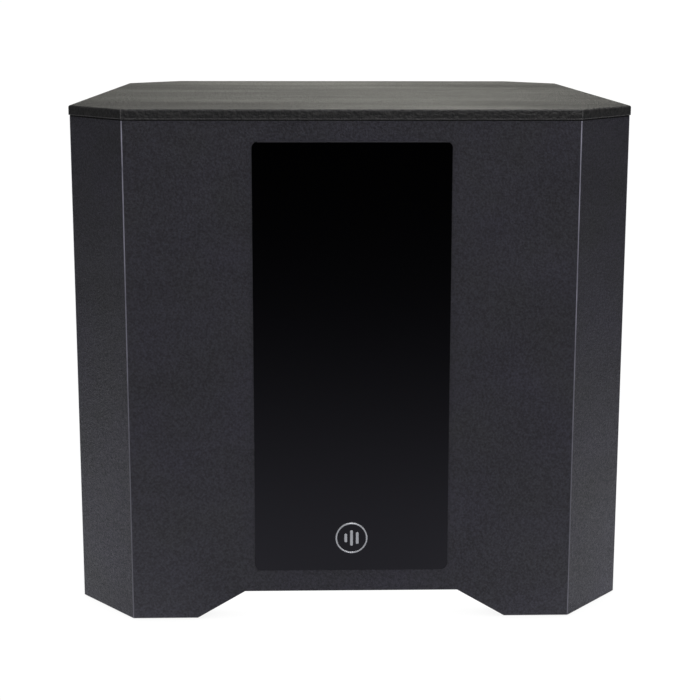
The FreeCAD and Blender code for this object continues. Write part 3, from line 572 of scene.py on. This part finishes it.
def copper_wire():
    """Enamelled copper laid in fine turns along Z."""
    s = Shader("enamelled_copper", (0.70, 0.25, 0.09), 0.3, 1.0)
    turns = s.bands(0.592 * MM, "Z")
    s.set("Base Color", s.mixed(turns, (0.35, 0.10, 0.03), (0.80, 0.33, 0.13)))
    s.roughen(s.noise(300, 2), 0.25, 0.4)
    s.bump(turns, 0.00012)
    return s.material


def glass():
    """Clear glass of a fuse tube, with faint draw lines."""
    s = Shader("fuse_glass", (0.9, 0.93, 0.92), 0.03, Transmission_Weight=0.9, IOR=1.5)
    s.roughen(s.noise(200, 2, (4, 1, 4)), 0.02, 0.06)
    s.bump(s.noise(200, 2, (4, 1, 4)), 0.00002)
    return s.material


def lamp_lens():
    """Tinted, diffused lens of the power lamp."""
    s = Shader("lamp_lens", (0.05, 0.35, 0.12), 0.25, Subsurface_Weight=0.3)
    haze = s.noise(900, 3)
    s.mottle(haze, (0.03, 0.28, 0.09), (0.07, 0.42, 0.16))
    s.roughen(haze, 0.2, 0.32)
    s.bump(haze, 0.00002)
    return s.material


def white_print():
    """Screen-printed marks: slightly raised ink."""
    s = Shader("white_print", (0.62, 0.62, 0.60), 0.5)
    ink = s.noise(2500, 2)
    s.mottle(ink, (0.52, 0.52, 0.50), (0.68, 0.68, 0.66))
    s.bump(ink, 0.00002)
    return s.material


VINYL = vinyl()
RIDGE_HIGHLIGHT = ridge_highlight_vinyl()
LID = lid_vinyl()
BOARD = painted_board()
ACRYLIC = acrylic()
FELT = felt()
FOAM = foam_strip()
RUBBER = rubber()
PAPER = cone_paper()
SPIDER_CLOTH = cloth("spider_cloth", (0.42, 0.28, 0.10))
BLACK_PLASTIC = plastic("black_plastic", (0.018, 0.018, 0.019), 0.42)
KNOB_PLASTIC = plastic("knob_plastic", (0.016, 0.016, 0.017), 0.38, 0.00003)
GLOSS_PLASTIC = plastic("rocker_plastic", (0.012, 0.012, 0.012), 0.22, 0.00001)
RED_PLASTIC = plastic("red_plastic", (0.45, 0.02, 0.015), 0.4)
TAG_BOARD = plastic("fibre_board", (0.22, 0.12, 0.05), 0.6)
PLATE_COAT = coated_metal("powder_coat", (0.018, 0.018, 0.019), 0.5, 0.00010)
BASKET_COAT = coated_metal("basket_coat", (0.014, 0.014, 0.014), 0.4)
SCREW_BLACK = bare_metal("black_zinc", (0.05, 0.05, 0.052), 0.35)
ANODISED = bare_metal("black_anodised", (0.045, 0.045, 0.048), 0.42, (1, 1, 0.05))
SILVER = silver_foil()
ZINC = bare_metal("zinc_plate", (0.62, 0.62, 0.64), 0.3)
BRASS = bare_metal("plated_brass", (0.80, 0.62, 0.32), 0.25)
NICKEL = bare_metal("nickel", (0.72, 0.69, 0.62), 0.2)
FOIL = bare_metal("former_foil", (0.75, 0.75, 0.76), 0.25)
CAN_SLEEVE = plastic("capacitor_sleeve", (0.02, 0.03, 0.09), 0.3)
RED_SLEEVE = plastic("red_wire", (0.5, 0.02, 0.015), 0.4)
BLACK_SLEEVE = plastic("black_wire", (0.02, 0.02, 0.02), 0.4)
PRINT = white_print()

# ---------------------------------------------------------------- carried-over CAD nodes

CARRIED = {
    BOARD: ["front_panel", "back_panel", "left_panel", "right_panel", "corner_panel_front_left",
            "corner_panel_front_right", "corner_panel_back_left", "corner_panel_back_right",
            "bottom_board", "top_board"],
    LID: ["top_lid"],
    softwood(): ["corner_cleats"],
    BASKET_COAT: ["driver_basket"],
    SCREW_BLACK: ["driver_screws", "amp_screws"],
    ZINC: ["magnet_top_plate", "pole_yoke", "toroid_bolt", "volume_pot", "crossover_pot",
           "volume_shaft", "crossover_shaft"],
    ferrite(): ["magnet_ring"],
    TAG_BOARD: ["driver_terminals"],
    BLACK_PLASTIC: ["port_tube", "mains_inlet", "fuse_holder", "fuse_cap", "power_switch_body",
                    "voltage_switch_body", "phase_switch_body", "rca_block"],
    KNOB_PLASTIC: ["volume_knob", "crossover_knob", "phase_slider"],
    PLATE_COAT: ["amp_plate"],
    ANODISED: ["heatsink"],
    circuit_laminate(): ["circuit_board"],
    BRASS: ["board_standoffs", "inlet_pins"],
    CAN_SLEEVE: ["filter_capacitors"],
    GLOSS_PLASTIC: ["power_rocker"],
    RED_PLASTIC: ["voltage_slider"],
    NICKEL: ["rca_shells"],
    FOIL: ["voice_coil_former"],
    copper_wire(): ["voice_coil_winding"],
    glass(): ["fuse"],
    lamp_lens(): ["power_led"],
}
for material, names in CARRIED.items():
    for name in names:
        slots = nodes[name].data.materials
        slots.clear()
        slots.append(material)

# ---------------------------------------------------------------- cabinet

# The octagonal shell: its middle, the heights of its walls' ends, how far its straight walls stand
# from the middle, and half the length of each.
centre = middle("top_board")
wall_low = low("front_panel").z
wall_high = high("front_panel").z
reach = high("right_panel").x
straight = high("front_panel").x

WRAP = 0.25 * MM  # how far the vinyl's face stands out from the boards
JOINT = 0.9 * MM  # height of the near-black line of glue and painted shadow between the vinyl and the lid


def cutter(shape):
    """A hidden solid that a Boolean takes away from another mesh."""
    mesh = bpy.data.meshes.new("cutter")
    mesh.from_pydata([tuple(point) for point in shape[0]], [], shape[1])
    obj = bpy.data.objects.new("cutter", mesh)
    scene.collection.objects.link(obj)
    return obj


def carve(obj, shapes):
    """Cuts solids out of a mesh for good."""
    cutters = [cutter(shape) for shape in shapes]
    for tool in cutters:
        boolean = obj.modifiers.new("cut", "BOOLEAN")
        boolean.operation = "DIFFERENCE"
        boolean.solver = "EXACT"
        boolean.object = tool
    bpy.context.view_layer.update()
    ready = obj.evaluated_get(bpy.context.evaluated_depsgraph_get())
    mesh = bpy.data.meshes.new_from_object(ready)
    obj.modifiers.clear()
    obj.data = mesh
    for tool in cutters:
        spent = tool.data
        bpy.data.objects.remove(tool)
        bpy.data.meshes.remove(spent)


def ring_prism(outer, inner, start, end, place):
    """A tube between two outlines with the same number of points."""
    count = len(outer)
    outlines = outer + inner
    points = [place @ Vector((x, y, z)) for z in (start, end) for x, y in outlines]
    faces = []
    outer_low, inner_low, outer_high, inner_high = 0, count, 2 * count, 3 * count
    for n in range(count):
        m = (n + 1) % count
        faces.append((outer_low + n, outer_low + m, outer_high + m, outer_high + n))
        faces.append((inner_low + m, inner_low + n, inner_high + n, inner_high + m))
        faces.append((outer_low + m, outer_low + n, inner_low + n, inner_low + m))
        faces.append((outer_high + n, outer_high + m, inner_high + m, inner_high + n))
    return points, faces


def foot_arch():
    """The outline of the opening in the foot of a wall, from a little below the wall."""
    half_foot, half_crown, crown = 97.3 * MM, 67.2 * MM, 18.6 * MM
    lean = (half_foot - half_crown) / (crown - wall_low)
    below = 2 * wall_low
    wide = half_foot + lean * below
    floor = wall_low - below
    return [(-wide, floor), (wide, floor), (half_crown, crown), (-half_crown, crown)]


def vinyl_wrap():
    """One sheet of vinyl round all eight boards, with rounded ridges, open at the foot arches, the
    front panel's recess, the amplifier's window and the vent."""
    ridge, clearance = 1.1 * MM, 0.02 * MM
    lift = WRAP * HALF_CORNER
    outer = octagon(reach + WRAP, straight + lift, ridge)
    inner = octagon(reach + clearance, straight + lift * 0.1, ridge)
    place = shifted(centre.x, centre.y, 0)
    shape = ring_prism(outer, inner, wall_low, wall_high - JOINT, place)
    wrap = piece("vinyl_wrap", *shape, VINYL, body=None)
    wrap.data.materials.append(RIDGE_HIGHLIGHT)

    right_through, skin_deep = 0.3, 0.02
    cuts = []
    for turn in (0, 90):
        cuts.append(prism(foot_arch(), -right_through, right_through,
                          place @ turned(turn, "Z") @ turned(90, "X")))
    start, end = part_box("front_fascia")
    play = 0.3 * MM
    recess = rounded_box(end.x - start.x + play, end.z - start.z + play, 4.1 * MM)
    cuts.append(prism(recess, -skin_deep, skin_deep, facing_front(0, start.y, (start.z + end.z) / 2)))
    start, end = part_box("amp_plate")
    overlap = 12 * MM
    window = rounded_box(end.x - start.x - overlap, end.z - start.z - overlap, 3 * MM)
    cuts.append(prism(window, -skin_deep, skin_deep, facing_back(0, end.y, (start.z + end.z) / 2)))
    vent = middle("port_tube")
    vent_place = facing_back(vent.x, high("port_tube").y, vent.z)
    cuts.append(prism(circle(34 * MM, 64), -skin_deep, skin_deep, vent_place))
    carve(wrap, cuts)

    # The ridges, whose faces look neither along a wall nor along a corner board, are paler: they take
    # the ridge material with its painted highlight.
    flat_within = 2
    for face in wrap.data.polygons:
        turn = math.degrees(math.atan2(face.normal.y, face.normal.x)) % 45
        if flat_within < turn < 45 - flat_within:
            face.material_index = 1
    soft_edges(wrap, 25)
    even_shading(wrap, 100)
    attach(wrap, "cabinet")


def shadow_glue_line():
    """The line of black glue in the joint between the wrap's upper edge and the lid, near black to paint
    the shadow under the lid's overhang.
    """
    # Its face lies 0.1 mm out from the boards, behind the vinyl's.
    outer = octagon(reach + 0.1 * MM, straight + 0.04 * MM)
    inner = octagon(reach + 0.02 * MM, straight + 0.01 * MM)
    below_lid = wall_high - 0.01 * MM
    shape = ring_prism(outer, inner, wall_high - JOINT, below_lid, shifted(centre.x, centre.y, 0))
    piece("shadow_glue_line", *shape, plastic("black_glue_shadow", (0.002, 0.002, 0.002), 0.8), slot="vinyl_mdf")


def gloss_panel():
    """The front panel of gloss acrylic, with flame-polished edges."""
    start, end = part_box("front_fascia")
    size = end - start
    place = facing_front((start.x + end.x) / 2, end.y, (start.z + end.z) / 2)
    shape = prism(rounded_box(size.x, size.z, 4 * MM, 12), 0, size.y, place)
    panel = piece("gloss_panel", *shape, ACRYLIC, replaces=["front_fascia"], slot="gloss_acrylic")
    add_bevel(panel, 0.2 * MM, 3)


def badge_plate():
    """A small plain emblem: a dark disc, a silver rim and three upright silver bars."""
    start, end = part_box("badge")
    size = end - start
    radius = size.z / 2
    place = facing_front((start.x + end.x) / 2, end.y, (start.z + end.z) / 2)
    rim, slope = 0.9 * MM, 0.25 * MM
    inside = radius - rim
    disc_top, shoulder = size.y * 0.55, size.y * 0.8
    base = lathe([(0, 0), (inside, 0), (inside, disc_top), (0, disc_top)], place, 72)
    disc = piece("badge_disc", *base, ACRYLIC, replaces=["badge"], slot="gloss_acrylic")
    add_bevel(disc, 0.05 * MM)
    ring = [(inside, 0), (radius, 0), (radius, shoulder), (radius - slope, size.y),
            (inside + slope, size.y), (inside, shoulder)]
    piece("badge_rim", *lathe(ring, place, 96, True), SILVER, slot="badge_metal")
    bars = []
    bar_wide, bar_pitch = 1.7 * MM, 3.6 * MM
    for step, tall in ((-1, 0.55), (0, 1.0), (1, 0.75)):
        bar = rounded_box(bar_wide, radius * tall, 0.5 * MM, 4)
        bars.append(prism(bar, size.y * 0.5, size.y * 0.9, place @ shifted(step * bar_pitch, 0, 0)))
    silver_bars = piece("badge_bars", *joined(*bars), SILVER, slot="badge_metal")
    add_bevel(silver_bars, 0.12 * MM)


def felt_feet():
    """Four oblong felt pads, one under each corner board, with softened edges."""
    start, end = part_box("foot_pads")
    wide, length, trimmed = 11 * MM, 40 * MM, 0.4 * MM
    outline = rounded_box(wide - trimmed, length - trimmed, 2 * MM, 4)
    out = (end.x - start.x) / math.sqrt(2) - (wide + length) / 2
    for index in range(4):
        place = shifted(centre.x, centre.y, start.z) @ turned(45 + 90 * index, "Z") @ shifted(out, 0, 0)
        shape = prism(outline, 0, end.z - start.z, place)
        replaced = ["foot_pads"] if index == 0 else ()
        pad = piece("felt_foot_%d" % (index + 1), *shape, FELT, replaces=replaced, slot="felt")
        add_bevel(pad, 0.3 * MM, 3)


def sealing_strip(name, node, outline, hole, place):
    """A foam gasket: a flat ring with slightly crushed, rounded edges."""
    depth = min(high(node) - low(node))
    shape = ring_prism(outline, hole, 0, depth, place)
    strip = piece(name, *shape, FOAM, replaces=[node], slot="foam_rubber")
    add_bevel(strip, 0.25 * MM, 2, 60)


def amplifier_seal():
    """The foam between the amplifier plate and the back."""
    start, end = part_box("amp_gasket")
    wide, tall = end.x - start.x, end.z - start.z
    borders = 18 * MM
    sealing_strip("amp_sealing_strip", "amp_gasket", rounded_box(wide, tall, 4 * MM),
                  rounded_box(wide - borders, tall - borders, 2 * MM),
                  facing_back(0, start.y, (start.z + end.z) / 2))


# ---------------------------------------------------------------- woofer

magnet = middle("magnet_ring")
woofer = shifted(magnet.x, magnet.y, 0)  # from the woofer's axis to the row frame


def woofer_seal():
    """The foam between the woofer's rim and the bottom board."""
    start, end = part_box("driver_gasket")
    outer = (end.x - start.x) / 2
    inner = outer - 11 * MM
    sealing_strip("driver_sealing_strip", "driver_gasket", circle(outer, 144), circle(inner, 144),
                  woofer @ shifted(0, 0, start.z))


def ribbed_cone():
    """The paper cone: a gentle flare with pressed rings in its outer half and a flat lip."""
    start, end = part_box("cone")
    edge = (end.x - start.x) / 2
    neck = high("voice_coil_former").x - woofer.translation.x
    base, top = start.z, end.z
    lip, lip_rise, paper = 3 * MM, 1 * MM, 0.9 * MM
    flare, rib, half_waves = 0.93, 0.45 * MM, 26
    wide = edge - lip
    face, back = [], []
    steps = 60
    for n in range(steps + 1):
        part = n / steps
        radius = neck + (wide - neck) * part
        height = top - (top - base - lip_rise) * (part ** flare)
        ribs = rib * math.cos(part * math.pi * half_waves) if 0.5 < part < 0.93 else 0
        face.append((radius, height - paper + ribs))
        back.append((radius, height + ribs))
    face.append((edge, base + 0.1 * MM))
    back.append((edge, base + paper))
    piece("paper_cone", *lathe(face + back[::-1], woofer, 144, True), PAPER, "cone", ["cone"],
          "cone_paper", 60)


def dust_cap():
    """The domed cap over the voice coil, a shell of the cone's paper."""
    start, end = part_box("dust_cap")
    edge = (end.x - start.x) / 2
    rise = end.z - start.z
    outer, inner = [], []
    steps = 24
    for n in range(steps + 1):
        part = n / steps
        drop = rise * (1 - part * part)
        outer.append((edge * part, end.z - drop))
        inner.append((edge * part * 0.97, end.z - drop * 0.92 + 0.15 * MM))
    profile = outer + inner[:0:-1] + [(0, inner[0][1])]
    piece("domed_dust_cap", *lathe(profile, woofer, 120), PAPER, "cone", ["dust_cap"], "cone_paper", 60)


def follow_radius(obj):
    """Moves the ring's placement into its points."""
    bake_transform(obj)


def rubber_surround():
    """The half-roll of rubber that the cone hangs on, with its two glued lips."""
    start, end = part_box("surround")
    edge = (end.x - start.x) / 2
    top, rubber = end.z, 1 * MM
    bottom = top - rubber
    roll_outer, roll_inner = edge - 2.5 * MM, edge - 17.5 * MM
    roll_middle = (roll_outer + roll_inner) / 2
    roll = (roll_outer - roll_inner) / 2
    inner_lip = roll_inner - 3 * MM
    under = [(inner_lip, bottom)] + arc(roll_middle, bottom, roll, 180, 360, 28)
    under += [(edge - 0.3 * MM, bottom), (edge, top - 0.6 * MM), (edge, top)]
    over = arc(roll_middle, top, roll - rubber, 360, 180, 28) + [(inner_lip, top)]
    ring = piece("rubber_surround", *lathe(under + over, woofer, 144, True), RUBBER, None, ["surround"],
                 "rubber", 60)
    follow_radius(ring)


def cloth_spider():
    """The corrugated cloth ring behind the cone."""
    start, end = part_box("spider")
    outer = (end.x - start.x) / 2
    inner = high("voice_coil_former").x - woofer.translation.x
    wave, waves = 1.1 * MM, 7
    top = end.z - 1.2 * MM
    steps = 96
    upper, lower = [], []
    for n in range(steps + 1):
        part = n / steps
        radius = inner + (outer - inner) * part
        flatter_ends = min(1, part * 8, (1 - part) * 5)
        wavy = wave * math.sin(part * math.pi * 2 * waves) * flatter_ends
        upper.append((radius, top - 0.1 * MM + wavy))
        lower.append((radius, top - 0.7 * MM + wavy))
    ring = piece("cloth_spider", *lathe(lower + upper[::-1], woofer, 120, True), SPIDER_CLOTH, None,
                 ["spider"], "spider_cloth", 60)
    follow_radius(ring)


# ---------------------------------------------------------------- back

def tick_marks():
    """White dial ticks round the two knobs and thin rules between the groups of sockets."""
    face = high("amp_plate").y
    ink = 0.05 * MM
    long_tick, short_tick, gap = 3.2 * MM, 2.2 * MM, 1.6 * MM
    shapes = []
    for knob in ("volume_knob", "crossover_knob"):
        hub = middle(knob)
        radius = (high(knob).x - low(knob).x) / 2
        for n in range(11):
            tall = long_tick if n in (0, 5, 10) else short_tick
            place = facing_back(hub.x, face, hub.z) @ turned(-150 + 30 * n, "Z")
            place = place @ shifted(0, -radius - gap - tall / 2, 0)
            shapes.append(prism(rounded_box(0.6 * MM, tall, 0.2 * MM, 3), 0, ink, place))
    # Each node's rules: their length, and how far above and below its middle they lie, in mm.
    rules = (("phase_slider", 19.6, 9.5), ("mains_inlet", 26.6, 15.5), ("power_rocker", 18.9, 17.5))
    for node, length, away in rules:
        hub = middle(node)
        for up in (-1, 1):
            place = facing_back(hub.x, face, hub.z + up * away * MM)
            shapes.append(prism(rounded_box(length * MM, 0.4 * MM, 0.15 * MM, 2), 0, ink, place))
    piece("plate_print", *joined(*shapes), PRINT, slot="powder_steel")


def knob_pointer(node, body):
    """The white line let into a knob's top."""
    hub = middle(node)
    radius = (high(node).x - low(node).x) / 2
    place = facing_back(hub.x, high(node).y, hub.z) @ shifted(0, -radius * 0.56, 0)
    line = prism(rounded_box(0.9 * MM, radius * 0.62, 0.3 * MM, 3), -0.45 * MM, -0.1 * MM, place)
    piece(node + "_pointer", *line, PRINT, body, slot="black_plastic")


def rocker_marks():
    """A white bar and ring on the power rocker's two ends. Each end's face rises from the waist to
    the tip."""
    hub = middle("power_rocker")
    pivot_depth, tilt = 2 * MM, -10
    waist, tip, half_tall = 3 * MM, 4.6 * MM, 10.4 * MM
    slope = math.degrees(math.atan2(tip - waist, half_tall))
    raised = 0.15 * MM
    pivot = shifted(hub.x, high("amp_plate").y - pivot_depth, hub.z) @ turned(tilt, "X")
    faces = []
    for side in (1, -1):
        face = pivot @ shifted(0, (waist + tip) / 2, side * half_tall / 2)
        faces.append(face @ turned(-90 - side * slope, "X"))
    bar = prism(rounded_box(0.7 * MM, 4 * MM, 0.2 * MM, 2), 0, raised, faces[0])
    inner, outer = 1.4 * MM, 2.1 * MM
    ring = lathe([(inner, 0), (outer, 0), (outer, raised), (inner, raised)], faces[1], 32, True)
    piece("rocker_marks", *joined(bar, ring), PRINT, "power_switch", slot="rocker_plastic")


def wadding_thickness(u, v):
    """How thick the wadding is, of 1, where u and v run from 0 to 1 across it: thin at the edges
    and irregularly tufted between them."""
    from_edges = min(1, 9 * min(u, 1 - u)) * min(1, 9 * min(v, 1 - v))
    tufts = 0.75 + 0.25 * math.sin(u * 21.0 + 2 * math.sin(v * 9)) * math.sin(v * 19.0)
    return 0.25 + 0.72 * math.sqrt(from_edges) * tufts


def wadding_pad():
    """A pad of wadding under the top board, flat above and tufted below, with a wavy outline."""
    start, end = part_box("damping_wadding")
    size = end - start
    trimmed = 0.985
    steps = 40
    side = steps + 1
    below, above = [], []
    for row in range(side):
        for column in range(side):
            u, v = column / steps, row / steps
            wavy = 1 - 0.02 * math.sin(v * 31) * math.sin(u * 27)
            x = (start.x + end.x) / 2 + (u - 0.5) * size.x * trimmed * wavy
            y = (start.y + end.y) / 2 + (v - 0.5) * size.y * trimmed * wavy
            below.append((x, y, end.z - size.z * wadding_thickness(u, v)))
            above.append((x, y, end.z))
    up = side * side
    faces = []
    for row in range(steps):
        for column in range(steps):
            a = row * side + column
            faces.append((a, a + side, a + side + 1, a + 1))
            faces.append((a + up, a + up + 1, a + up + side + 1, a + up + side))
    rim = list(range(side))
    rim += [row * side + steps for row in range(1, side)]
    rim += [steps * side + column for column in range(steps - 1, -1, -1)]
    rim += [row * side for row in range(steps - 1, 0, -1)]
    for a, b in zip(rim, rim[1:] + rim[:1]):
        faces.append((a, b, b + up, a + up))
    pad = piece("wadding_pad", below + above, faces, wadding_fibre(), replaces=["damping_wadding"],
                slot="wadding", angle=80)


def wound_toroid():
    """The transformer: a rounded ring with the ridges of its wrapped tape."""
    start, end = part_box("toroid_transformer")
    thick = end.x - start.x
    outer = (end.z - start.z) / 2
    inner = 14 * MM
    mid, half_width = (outer + inner) / 2, (outer - inner) / 2
    place = shifted(start.x, (start.y + end.y) / 2, (start.z + end.z) / 2) @ turned(90, "Y")
    turns, ring = 180, 28
    groove, squareness = 0.35 * MM, 0.55
    points, faces = [], []
    for n in range(turns):
        angle = 2 * math.pi * n / turns
        sunk = groove if n % 5 else 0.0
        for m in range(ring):
            c, s = math.cos(2 * math.pi * m / ring), math.sin(2 * math.pi * m / ring)
            radius = mid + math.copysign(abs(c) ** squareness, c) * (half_width - sunk)
            along = math.copysign(abs(s) ** squareness, s) * (thick / 2 - sunk) + thick / 2
            points.append(place @ Vector((radius * math.cos(angle), radius * math.sin(angle), along)))
    for n in range(turns):
        here, after = n * ring, (n + 1) % turns * ring
        for m in range(ring):
            k = (m + 1) % ring
            faces.append((here + m, after + m, after + k, here + k))
    piece("wound_toroid", points, faces, wound_tape(), replaces=["toroid_transformer"],
          slot="transformer_tape", angle=60)


def woofer_wires():
    """Red and black wires from the circuit board down to the woofer's tags."""
    # How far out to its side of the cabinet's middle, how far back and how high a wire runs, in mm.
    route = ((20, 159.7, 122), (19, 144, 121), (15, 122, 114), (10, 103, 112), (7, 84, 111),
             (6, 68, 105), (6, 61.5, 93), (6, 61.5, 79.5))
    for index, (side, material) in enumerate(((-1, BLACK_SLEEVE), (1, RED_SLEEVE))):
        curve = bpy.data.curves.new("wire_%d" % index, "CURVE")
        curve.dimensions = "3D"
        spline = curve.splines.new("NURBS")
        spline.points.add(len(route) - 1)
        for point, (out, back, height) in zip(spline.points, route):
            point.co = (side * out * MM, back * MM + centre.y, height * MM, 1)
        spline.order_u = 3
        spline.use_endpoint_u = True
        curve.bevel_depth = 1.5 * MM
        curve.bevel_resolution = 4
        curve.use_fill_caps = True
        curve.materials.append(material)
        wire = bpy.data.objects.new("woofer_wire_%s" % ("black" if side < 0 else "red"), curve)
        scene.collection.objects.link(wire)
        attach(wire, "cabinet")
        if index == 0:
            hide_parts("driver_wires")


vinyl_wrap()
shadow_glue_line()
gloss_panel()
badge_plate()
felt_feet()
amplifier_seal()
woofer_seal()
ribbed_cone()
dust_cap()
rubber_surround()
cloth_spider()
tick_marks()
knob_pointer("volume_knob", "volume_control")
knob_pointer("crossover_knob", "crossover_control")
rocker_marks()
wadding_pad()
wound_toroid()
woofer_wires()

# ---------------------------------------------------------------- stage, lights and camera

def light_pool(s):
    """How bright the floor is to the object: brightest beside the cabinet and dimmer further out,
    more so in front, where the studio is dark."""
    beside, dimmer_ahead = 1.4, 0.90
    cabinet, fade_out = 0.18, 0.37
    never_zero = 0.0001
    x, y = s.axis("X"), s.axis("Y")
    around = s.maths("ADD", s.maths("MULTIPLY", x, x), s.maths("MULTIPLY", y, y))
    around = s.maths("ADD", around, never_zero)
    front = s.maths("MINIMUM", y, 0.0)
    out = s.maths("MAXIMUM", s.maths("SUBTRACT", s.maths("SQRT", around), cabinet), 0.0)
    spread = s.maths("MULTIPLY", out, 1 / fade_out)
    fade = s.maths("ADD", s.maths("MULTIPLY", spread, spread), 1.0)
    ahead = s.maths("DIVIDE", s.maths("MULTIPLY", front, front), around)
    level = s.maths("SUBTRACT", beside, s.maths("MULTIPLY", ahead, dimmer_ahead))
    return s.maths("DIVIDE", level, fade)


def split_by_ray(tree, seen, cast, output):
    """Shows one shader to the camera and another to the rays that light the object."""
    rays = tree.nodes.new("ShaderNodeLightPath")
    mix = tree.nodes.new("ShaderNodeMixShader")
    tree.links.new(rays.outputs["Is Camera Ray"], mix.inputs[0])
    tree.links.new(cast.outputs[0], mix.inputs[1])
    tree.links.new(seen.outputs[0], mix.inputs[2])
    tree.links.new(mix.outputs[0], tree.nodes[output].inputs["Surface"])


def stage_floor():
    """A plain pale floor: white to the camera, with a faint shadow where the feet meet it."""
    size = 9.0
    points = [(-size, -size, 0), (size, -size, 0), (size, size, 0), (-size, size, 0)]
    mesh = bpy.data.meshes.new("floor")
    mesh.from_pydata(points, [], [(0, 1, 2, 3)])
    floor = bpy.data.objects.new("floor", mesh)
    scene.collection.objects.link(floor)
    s = Shader("pale_floor", (0.86, 0.86, 0.86), 0.9)
    shadow, plain, shadow_reach = 0.88, 1.03, 0.03
    corners = s.add("AmbientOcclusion")
    s.feed(corners, "Distance", shadow_reach)
    seen = s.add("Emission")
    s.feed(seen, "Strength", s.span(corners.outputs["AO"], shadow, plain, (0.0, 0.75)))
    cast = s.add("Emission")
    s.feed(cast, "Color", (0.95, 0.96, 1.0, 1))
    s.feed(cast, "Strength", light_pool(s))
    split_by_ray(s.tree, seen, cast, "Material Output")
    mesh.materials.append(s.material)


def studio_world():
    """White to the camera; to the object a dim room with a lit backdrop behind it."""
    world = bpy.data.worlds.new("studio")
    scene.world = world
    world.use_nodes = True
    tree = world.node_tree
    room = tree.nodes["Background"]
    room.inputs["Color"].default_value = (1.0, 0.99, 0.90, 1)
    way = tree.nodes.new("ShaderNodeTexCoord")
    split = tree.nodes.new("ShaderNodeSeparateXYZ")
    tree.links.new(way.outputs["Generated"], split.inputs[0])
    level = tree.nodes.new("ShaderNodeMapRange")
    front_level, back_level = 0.05, 0.23
    level.inputs["From Min"].default_value = -0.1
    level.inputs["From Max"].default_value = 1.0
    level.inputs["To Min"].default_value = front_level
    level.inputs["To Max"].default_value = back_level
    tree.links.new(split.outputs["Y"], level.inputs["Value"])
    tree.links.new(level.outputs["Result"], room.inputs["Strength"])
    white = tree.nodes.new("ShaderNodeBackground")
    white.inputs["Color"].default_value = (1, 1, 1, 1)
    white.inputs["Strength"].default_value = 1.05
    split_by_ray(tree, white, room, "World Output")


def soft_light(name, place, aim, width, tall, power, colour=(1, 1, 1)):
    """A rectangular lamp that the camera doesn't see."""
    light = bpy.data.lights.new(name, "AREA")
    light.color = colour
    light.shape = "RECTANGLE"
    light.size = width
    light.size_y = tall
    light.energy = power
    obj = bpy.data.objects.new(name, light)
    obj.location = place
    obj.rotation_euler = (Vector(aim) - Vector(place)).to_track_quat("-Z", "Y").to_euler()
    obj.visible_camera = False
    scene.collection.objects.link(obj)


def studio_camera():
    """A step back and a little above the lid, looking slightly down."""
    data = bpy.data.cameras.new("camera")
    data.sensor_width = 36
    data.lens = 70.2
    data.shift_y = -0.155
    data.clip_start = 0.01
    camera = bpy.data.objects.new("camera", data)
    stand = shifted(centre.x - 0.0201, centre.y - 0.9928, 0.379)
    yaw, pitch, roll = -0.023, 0.1649, 0.002
    ahead = Vector((-math.sin(yaw) * math.cos(pitch), math.cos(yaw) * math.cos(pitch), -math.sin(pitch)))
    aim = ahead.to_track_quat("-Z", "Y").to_matrix().to_4x4()
    camera.matrix_world = stand @ aim @ Matrix.Rotation(roll, 4, "Z")
    scene.collection.objects.link(camera)
    scene.camera = camera


stage_floor()
studio_world()
soft_light("left_strip", (-1.35, -1.05, 0.76), (0, -0.1, 0.76), 0.12, 1.5, 0.8)
soft_light("right_strip", (1.35, -1.05, 0.76), (0, -0.1, 0.76), 0.12, 1.5, 1.6)
soft_light("front", (0.2, -1.6, 1.5), (0, 0, 0.15), 1.2, 0.6, 16)
soft_light("top", (0.2, -0.1, 2.2), (0, 0, 0.1), 1.6, 1.4, 22)
soft_light("rear", (0.1, 2.0, 1.4), (0, 0.1, 0.2), 0.9, 1.0, 11, (1.0, 0.98, 0.88))
studio_camera()
scene.view_settings.view_transform = "Standard"
